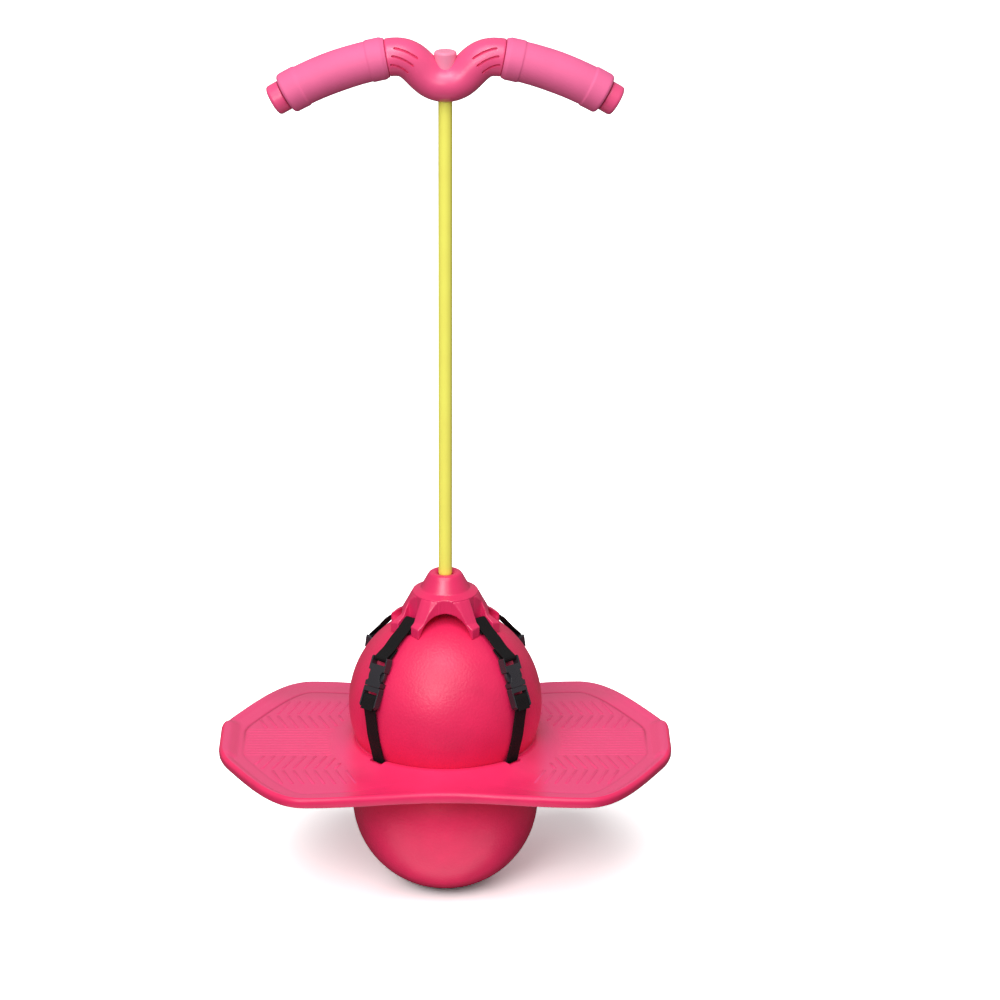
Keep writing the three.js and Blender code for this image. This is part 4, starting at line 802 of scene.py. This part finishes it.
BUCKLE_BAR_RADIUS = 1.4
FRONT_BUCKLE_LATITUDE = 26.0
REAR_BUCKLE_LATITUDE = 14.0
BUCKLE_CENTRE = UPPER_RADIUS + BALL_CLEARANCE + 3.75
SOCKET_BAR = 24.6
PLUG_BAR = -14.73
PLUG_END = -26.0
STRAP_ON_BALL = UPPER_RADIUS + BALL_CLEARANCE + STRAP_THICKNESS / 2
STRAP_BLACK = (0.0045, 0.0038, 0.0045)


def polar(radius, degrees):
    """A point of a strap plane at a distance and latitude from the upper lobe's centre."""
    return radius * np.array([np.cos(np.radians(degrees)), np.sin(np.radians(degrees))])


def by_buckle(latitude, off, along):
    """A point of a strap plane by its distance off the buckle's middle plane and up along the buckle."""
    turn = np.radians(latitude)
    out = BUCKLE_CENTRE + off
    return np.array([out * np.cos(turn) - along * np.sin(turn), out * np.sin(turn) + along * np.cos(turn)])


def round_bar(start, bar, radius, end):
    """A strap's way round a bar, clockwise, between the tangents from one point and to another."""

    def bearing(point, sign):
        """Angle on the bar where a strap from a point touches it: the point's, turned by the tangent's."""
        offset = point - bar
        return np.arctan2(offset[1], offset[0]) + sign * np.arccos(radius / np.linalg.norm(offset))

    first = bearing(start, -1.0)
    last = bearing(end, 1.0)
    last -= 2.0 * np.pi * np.ceil((last - first) / (2.0 * np.pi))
    turn = np.linspace(first, last, 28)
    return bar + radius * np.column_stack([np.cos(turn), np.sin(turn)])


def loop_radius(bar_radius):
    """Radius of a strap's middle round a bar: the bar, its gap and half the strap's thickness."""
    return bar_radius + BAR_GAP + STRAP_THICKNESS / 2


def upper_route(latitude):
    """A strap's way round the bar in a bracket's leg, over the ball, and round the socket's bar."""
    socket_bar = by_buckle(latitude, 0.0, SOCKET_BAR)
    socket_latitude = np.degrees(np.arctan2(socket_bar[1], socket_bar[0]))
    middle_latitude = (LEG_BAR_LATITUDE + socket_latitude) / 2
    tail_turn = np.degrees(STRAP_TAIL / STRAP_ON_BALL)
    run_radius = STRAP_ON_BALL + 2 * STRAP_THICKNESS
    leg_loop = loop_radius(BRACKET_BAR_RADIUS)
    leg_bar = polar(UPPER_RADIUS + BALL_CLEARANCE + STRAP_THICKNESS + BAR_GAP + leg_loop, LEG_BAR_LATITUDE)
    tail_radius = run_radius - STRAP_THICKNESS - 2 * BAR_GAP
    leg_tail = polar(tail_radius, max(LEG_BAR_LATITUDE - tail_turn, middle_latitude + TAIL_MARGIN))
    socket_tail = polar(tail_radius, min(socket_latitude + tail_turn, middle_latitude - TAIL_MARGIN))
    run_start = polar(run_radius + RUN_LIFT, (LEG_BAR_LATITUDE + middle_latitude) / 2)
    run_end = polar(run_radius + RUN_END_LIFT, (socket_latitude + middle_latitude) / 2)
    return np.vstack([
        leg_tail,
        round_bar(leg_tail, leg_bar, leg_loop, run_start),
        run_start,
        polar(run_radius + RUN_LIFT, middle_latitude),
        run_end,
        round_bar(run_end, socket_bar, loop_radius(BUCKLE_BAR_RADIUS), socket_tail),
        socket_tail,
    ])


def lower_route(latitude):
    """A strap's way round its pin, up over the ball, and over the plug's cross bar to a short free end."""
    pin_loop = loop_radius(PIN_RADIUS)
    pin_tail = PIN_PLACE + pin_loop * PIN_TAIL
    plug_loop = loop_radius(BUCKLE_BAR_RADIUS)
    under_plug = by_buckle(latitude, -plug_loop, PLUG_END - 1.0)
    free_tail = by_buckle(latitude, plug_loop, PLUG_END - 1.5)
    leave_pin = polar(STRAP_ON_BALL + COLLAR_LIFT, COLLAR_LATITUDE)
    return np.vstack([
        pin_tail,
        round_bar(pin_tail, PIN_PLACE, pin_loop, leave_pin),
        leave_pin,
        polar(STRAP_ON_BALL + LOBE_LIFT, LOBE_LATITUDE),
        under_plug,
        round_bar(under_plug, by_buckle(latitude, 0.0, PLUG_BAR), plug_loop, free_tail),
        free_tail,
    ])


def webbing(name, colour):
    """Woven strap: rows of weft and yarns along it, in colour and bump, laid by the mesh's weave places."""
    material = bpy.data.materials.new(name)
    material.use_nodes = True
    nodes = material.node_tree.nodes
    join = material.node_tree.links.new
    shader = nodes["Principled BSDF"]
    shader.inputs["Roughness"].default_value = 0.72
    shader.inputs["Specular IOR Level"].default_value = 0.25
    weave = nodes.new("ShaderNodeAttribute")
    weave.attribute_name = "weave"
    cross = nodes.new("ShaderNodeMath")
    cross.operation = "MULTIPLY"
    for socket, (direction, period) in zip(cross.inputs, WEAVE_PERIODS):
        wave = nodes.new("ShaderNodeTexWave")
        wave.bands_direction = direction
        wave.inputs["Scale"].default_value = 2.0 * np.pi / (WAVE_FACTOR * period)
        join(weave.outputs["Vector"], wave.inputs["Vector"])
        join(wave.outputs["Fac"], socket)
    tint = nodes.new("ShaderNodeValToRGB")
    tint.color_ramp.elements[0].color = [0.45 * value for value in colour] + [1.0]
    tint.color_ramp.elements[1].color = [1.9 * value for value in colour] + [1.0]
    bump = nodes.new("ShaderNodeBump")
    bump.inputs["Strength"].default_value = 0.8
    bump.inputs["Distance"].default_value = 0.0004
    join(cross.outputs["Value"], tint.inputs["Fac"])
    join(tint.outputs["Color"], shader.inputs["Base Color"])
    join(cross.outputs["Value"], bump.inputs["Height"])
    join(bump.outputs["Normal"], shader.inputs["Normal"])
    return material


def strap_skin(route, axes):
    """A rounded oblong carried along a route in a strap plane, and each point's place in the weave."""
    out, up, across = axes
    path = softened(evenly(route, int(run(route)[-1] / STRAP_STEP)), 2)
    along = unit(np.gradient(path, axis=0))
    off = np.column_stack([-along[:, 1], along[:, 0]])
    edge = STRAP_WIDTH / 2
    skin_half = STRAP_THICKNESS / 2
    face = np.linspace(-edge + STRAP_EDGE, edge - STRAP_EDGE, 9)
    wide = np.concatenate([face, [edge, edge]])
    wide = np.concatenate([wide, -wide])
    edge_half = STRAP_EDGE_SHARE * skin_half
    thick = np.concatenate([np.full(len(face), skin_half), [edge_half, -edge_half]])
    thick = np.concatenate([thick, -thick])
    plane = path[:, None] + thick[None, :, None] * off[:, None]
    points = plane[..., :1] * out + plane[..., 1:] * up + wide[None, :, None] * across
    distance = run(path)
    places = np.stack(np.broadcast_arrays(distance[:, None], wide[None], 0.0 * distance[:, None]), axis=-1)
    ends = np.zeros((2, 3))
    ends[1, 0] = distance[-1]
    weave_places = np.concatenate([places.reshape(-1, 3), ends]) * MILLIMETRE
    return skin(points + UPPER_MIDDLE), weave_places


strap_webbing = webbing("strap_webbing", STRAP_BLACK)
for corner, sides in CORNERS.items():
    axes = corner_axes(*sides)
    latitude = FRONT_BUCKLE_LATITUDE if sides[1] < 0 else REAR_BUCKLE_LATITUDE
    for part, route in (("upper", upper_route(latitude)), ("lower", lower_route(latitude))):
        strap_part, weave_places = strap_skin(route, axes)
        strap = shape(f"{corner}_{part}_webbing", strap_webbing, strap_part)
        weave = strap.data.attributes.new("weave", "FLOAT_VECTOR", "POINT")
        weave.data.foreach_set("vector", weave_places.ravel())
        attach(strap, "base")
        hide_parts(f"{corner}_{part}_strap")
    pin_half = STRAP_SLOT / 2 + 2.0 * LUG_HALF + PIN_SPARE
    pin_side = pin_half - PIN_CHAMFER
    pin_corners = (PIN_TIP, PIN_RADIUS, PIN_RADIUS, PIN_TIP)
    pin_profile = list(zip(pin_corners, (-pin_half, -pin_side, pin_side, pin_half)))
    pin_middle = PIN_PLACE[0] * axes[0] + PIN_PLACE[1] * axes[1] + UPPER_MIDDLE
    pin = shape(f"{corner}_pin", zinc, skin(turned(pin_profile, 32, pin_middle, axes[2])))
    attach(pin, "base")
    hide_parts(f"{corner}_strap_pin")

# Buckles: side-release buckles of black acetal with eased edges. The socket is a flat sleeve with open
# sides, and the plug is a ladder frame with two sprung latches that show in the socket's windows.
# Each half hangs on its strap by a cross bar.
BUCKLE_BLACK = (0.022, 0.020, 0.026)
BUCKLE_EASE = 0.0006


def eased(node, name):
    """A CAD node's copy in acetal with its edges rounded off."""
    made = cad_copy(node, name, acetal)
    bevel = made.modifiers.new("ease", "BEVEL")
    bevel.width = BUCKLE_EASE
    bevel.segments = 2
    bevel.limit_method = "ANGLE"
    bevel.angle_limit = np.radians(CAD_SHARP)
    bevel.harden_normals = True
    return made


acetal = moulded("buckle_acetal", BUCKLE_BLACK, 0.28, grain=0.0006, depth=0.00008, drift=0.2, gloss=0.6)
for corner in CORNERS:
    for half_name in ("socket", "plug"):
        buckle = eased(f"{corner}_buckle_{half_name}", f"{corner}_{half_name}_half")
        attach(buckle, "base")
        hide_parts(f"{corner}_buckle_{half_name}")
    for side_name in ("inner", "outer"):
        latch = eased(f"{corner}_{side_name}_latch", f"{corner}_{side_name}_arm")
        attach(latch, f"{corner}_{side_name}_latch")
        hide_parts(f"{corner}_{side_name}_latch")

# Handle core: a thick moulded bar that dips in a V over the rope, with three curved slots on each shoulder.
# It is bored for the rope, with a flared mouth below, and counterbored above for the stop cap.
HUB_DROP = 15.9
HANDLE_CENTRE = BOSS_TOP + ROPE_LENGTH + HUB_DROP
HUB_DEPTH_RATIO = 1.1
SHOULDER_RADIUS = 18.2
SADDLE_DEPTH = 27.3
SADDLE_REACH = 46.0
SADDLE_EASE = 22.2
HUB_END_ROUND = 1.2
HUB_END_REACH = 1.4
HOLE_GAP = 0.45
GRIP_START = 54.7
GRIP_ARC_RADIUS = 300.0
GRIP_LENGTH = 102.5
BAR_RADIUS = 14.0
STOP_RADIUS = 10.7
STOP_SEAT = 9.0
SLOT_HALF_WIDTH = 1.2
SLOT_DEPTH = 3.0
SLOT_BOW = 2.0
SLOT_INNER_ENDS = ((25.3, 28.9), (29.3, 22.2), (34.4, 15.5))
SLOT_OUTER_ENDS = ((48.9, 38.8), (50.8, 32.0), (51.7, 23.7))
HANDLE_PINK = (0.86, 0.085, 0.235)

grip_slope = np.arcsin(GRIP_START / GRIP_ARC_RADIUS)
grip_start_height = SADDLE_DEPTH - 0.5 * (GRIP_START - SADDLE_REACH) * np.tan(grip_slope)
arc_centre = grip_start_height - GRIP_ARC_RADIUS * np.cos(grip_slope)
saddle_floor = SHOULDER_RADIUS - HUB_DROP
saddle = bezier(
    (0.0, saddle_floor),
    (SADDLE_EASE, saddle_floor),
    (SADDLE_REACH - SADDLE_EASE, SADDLE_DEPTH),
    (SADDLE_REACH, SADDLE_DEPTH),
    count=60,
)
over_shoulder = bezier(
    (SADDLE_REACH, SADDLE_DEPTH),
    ((SADDLE_REACH + GRIP_START) / 2, SADDLE_DEPTH),
    (GRIP_START, grip_start_height),
    count=16,
)
hub_line = evenly(np.concatenate([saddle, over_shoulder[1:]]), 90)


def on_grip(distance):
    """Points in (x, z) on the grip's arc at distances from its inner end."""
    angle = grip_slope + distance / GRIP_ARC_RADIUS
    height = arc_centre + GRIP_ARC_RADIUS * np.cos(angle)
    return np.stack([GRIP_ARC_RADIUS * np.sin(angle), height], axis=-1)


def piped(line, radii, depth_ratios, segments):
    """An oval of changing size carried along a line in (x, z): each row is one oval across the line."""
    along = unit(np.gradient(line, axis=0))
    turn = full_turn(segments)
    lift = radii[:, None] * np.cos(turn)
    aside = (radii * depth_ratios)[:, None] * np.sin(turn)
    x = line[:, :1] - along[:, 1:] * lift
    z = line[:, 1:] + along[:, :1] * lift
    return np.stack([x, aside, z + HANDLE_CENTRE], axis=-1)


hub_ratios = HUB_DEPTH_RATIO + (1.0 - HUB_DEPTH_RATIO) * step(hub_line[:, 0] / (0.5 * SADDLE_REACH))
from_end = GRIP_START - hub_line[:, 0]
end_share = np.clip(1.0 - from_end / HUB_END_REACH, 0.0, 1.0)
end_round = HUB_END_ROUND * (1.0 - np.sqrt(1.0 - end_share**2))
hub_radii = SHOULDER_RADIUS - end_round
bar_line = on_grip(np.linspace(0.2, GRIP_LENGTH, 30))
hub_rows = np.column_stack([hub_line, hub_radii, hub_ratios])
bar_rows = np.column_stack([bar_line, np.full(len(bar_line), BAR_RADIUS), np.ones(len(bar_line))])
right_rows = np.concatenate([hub_rows, bar_rows])
core_rows = np.concatenate([right_rows[:0:-1] * (-1.0, 1.0, 1.0, 1.0), right_rows])
core_points = piped(core_rows[:, :2], core_rows[:, 2], core_rows[:, 3], 96)
handle_plastic = moulded("handle_plastic", HANDLE_PINK, rough=0.32, grain=0.0007, depth=0.0001, gloss=0.6)
core = shape("handle_bar", handle_plastic, skin(core_points), sharp=50.0)

rope_hole = [
    (ROPE_RADIUS + 9.0, -HUB_DROP - 6.0),
    (ROPE_RADIUS + 3.2, -HUB_DROP),
    (ROPE_RADIUS + HOLE_GAP, -HUB_DROP + 3.3),
    (ROPE_RADIUS + HOLE_GAP, STOP_SEAT),
    (STOP_RADIUS + HOLE_GAP, STOP_SEAT),
    (STOP_RADIUS + HOLE_GAP, SADDLE_DEPTH + 40.0),
]
hole_skins = [skin(turned(rope_hole, 64, (0.0, 0.0, HANDLE_CENTRE)))]
for inner_end, outer_end in zip(SLOT_INNER_ENDS, SLOT_OUTER_ENDS):
    share = np.linspace(0.0, 1.0, 24)[:, None]
    slot_line = np.array(inner_end) * (1.0 - share) + np.array(outer_end) * share
    slot_line[:, 1] += 4.0 * SLOT_BOW * (share * (1.0 - share))[:, 0]
    from_hub = np.linalg.norm(slot_line[:, None] - hub_line[None], axis=-1)
    nearest = from_hub.argmin(axis=1)
    inside = np.clip(hub_radii[nearest] ** 2 - from_hub.min(axis=1) ** 2, 1.0, None)
    face = hub_ratios[nearest] * np.sqrt(inside)
    slot_along = unit(np.gradient(slot_line, axis=0))
    taper = np.sqrt(np.clip(1.0 - (2.0 * share - 1.0) ** 16, 0.05, 1.0))
    turn = full_turn(12)
    wide = SLOT_HALF_WIDTH * taper * np.cos(turn)
    rings = np.stack(
        [
            slot_line[:, :1] - slot_along[:, 1:] * wide,
            -face[:, None] + SLOT_DEPTH * np.sin(turn),
            slot_line[:, 1:] + slot_along[:, :1] * wide + HANDLE_CENTRE,
        ],
        axis=-1,
    )
    hole_skins += [skin(rings * (x, y, 1.0)) for x in (1.0, -1.0) for y in (1.0, -1.0)]
cutter = shape("core_holes", handle_plastic, *hole_skins)
carve = core.modifiers.new("carve", "BOOLEAN")
carve.operation = "DIFFERENCE"
carve.solver = "EXACT"
carve.object = cutter
carved = settled(core)
carved.shade_smooth()
carved.set_sharp_from_angle(angle=np.radians(42.0))
bpy.data.objects.remove(cutter)
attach(core, "handle")
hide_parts("handle_core")

# Grips: thick sleeves of soft foam rubber pushed over the bar up to its shoulders, with a slightly raised
# band at each end. Their skin is finely pitted and dull.
GRIP_RADIUS = 19.7
GRIP_BORE = 14.3
BAND = 0.6
BAND_LENGTH = 17.0
SIDES = (("left", -1.0), ("right", 1.0))
GRIP_PINK = (0.83, 0.138, 0.315)

grip_corners = [
    (0.3, GRIP_BORE),
    (0.3, SHOULDER_RADIUS + 0.6),
    (1.5, GRIP_RADIUS - 0.7),
    (4.3, GRIP_RADIUS + BAND),
    (BAND_LENGTH, GRIP_RADIUS + BAND),
    (BAND_LENGTH + 1.2, GRIP_RADIUS - 0.3),
    (0.5 * GRIP_LENGTH, GRIP_RADIUS),
    (GRIP_LENGTH - BAND_LENGTH - 1.2, GRIP_RADIUS - 0.3),
    (GRIP_LENGTH - BAND_LENGTH, GRIP_RADIUS + BAND),
    (GRIP_LENGTH - 2.6, GRIP_RADIUS + BAND - 0.2),
    (GRIP_LENGTH - 0.7, GRIP_RADIUS - 0.7),
    (GRIP_LENGTH, GRIP_RADIUS - 2.2),
    (GRIP_LENGTH, GRIP_BORE),
    (0.3, GRIP_BORE),
]
grip_profile = softened(evenly(grip_corners, 420), 2)
foam = moulded("grip_foam", GRIP_PINK, rough=0.62, grain=0.0012, depth=0.0003, drift=0.05)
grip_line = on_grip(grip_profile[:, 0])
grip_turn = grip_slope + grip_profile[:, 0] / GRIP_ARC_RADIUS
turn = full_turn(72)
lift = grip_profile[:, 1:] * np.cos(turn)
grip_x = grip_line[:, :1] + np.sin(grip_turn)[:, None] * lift
grip_y = grip_profile[:, 1:] * np.sin(turn)
grip_z = grip_line[:, 1:] + np.cos(grip_turn)[:, None] * lift + HANDLE_CENTRE
for name, side in SIDES:
    grip_points = np.stack([side * grip_x, grip_y, grip_z], axis=-1)
    grip = shape(f"{name}_grip_sleeve", foam, skin(grip_points[:-1], looped=True, capped=False))
    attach(grip, "handle")
    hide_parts(f"{name}_grip")

# End plugs: hard round plugs of the bar's plastic, with a flat face and a rounded edge.
# Each has a spigot that is pushed into the end of the bar.
PLUG_RADIUS = 15.0
PLUG_REACH = 14.2
PLUG_SPIGOT = 9.0

plug_corners = [
    (PLUG_SPIGOT - 1.0, -18.0),
    (PLUG_SPIGOT, -16.5),
    (PLUG_SPIGOT, 1.0),
    (PLUG_RADIUS - 0.5, 1.0),
    (PLUG_RADIUS, 1.6),
    (PLUG_RADIUS, PLUG_REACH - 3.0),
    (PLUG_RADIUS - 0.9, PLUG_REACH - 0.9),
    (PLUG_RADIUS - 3.0, PLUG_REACH),
    (0.6, PLUG_REACH),
]
plug_profile = softened(evenly(plug_corners, 140), 2)
plug_start = on_grip(GRIP_LENGTH)
plug_turn = grip_slope + GRIP_LENGTH / GRIP_ARC_RADIUS
for name, side in SIDES:
    plug_axis = (side * np.cos(plug_turn), 0.0, -np.sin(plug_turn))
    plug_origin = (side * plug_start[0], 0.0, plug_start[1] + HANDLE_CENTRE)
    plug = shape(f"{name}_plug", handle_plastic, skin(turned(plug_profile, 64, plug_origin, plug_axis)))
    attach(plug, "handle")
    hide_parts(f"{name}_end_plug")

# Stop cap: a short round cap of paler plastic, hollow below, over the rope's crimped upper end.
# It stands in the saddle's counterbore, on the washer.
STOP_LOW = STOP_SEAT + 2.1
STOP_HIGH = STOP_LOW + 22.0
STOP_BORE = 9.6
STOP_HOLLOW = 14.0
STOP_PINK = (0.90, 0.270, 0.420)

stop_corners = [
    (STOP_BORE, STOP_LOW + STOP_HOLLOW),
    (STOP_BORE, STOP_LOW),
    (STOP_RADIUS, STOP_LOW),
    (STOP_RADIUS, STOP_HIGH - 2.2),
    (STOP_RADIUS - 0.7, STOP_HIGH - 0.7),
    (STOP_RADIUS - 2.2, STOP_HIGH),
    (0.6, STOP_HIGH),
]
stop_plastic = moulded("stop_plastic", STOP_PINK, rough=0.42, grain=0.0006, depth=0.0001)
stop_profile = softened(evenly(stop_corners, 150), 2)
stop = shape("stop_cap", stop_plastic, skin(turned(stop_profile, 64, (0.0, 0.0, HANDLE_CENTRE))))
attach(stop, "rope_top")
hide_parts("rope_stop_cap")
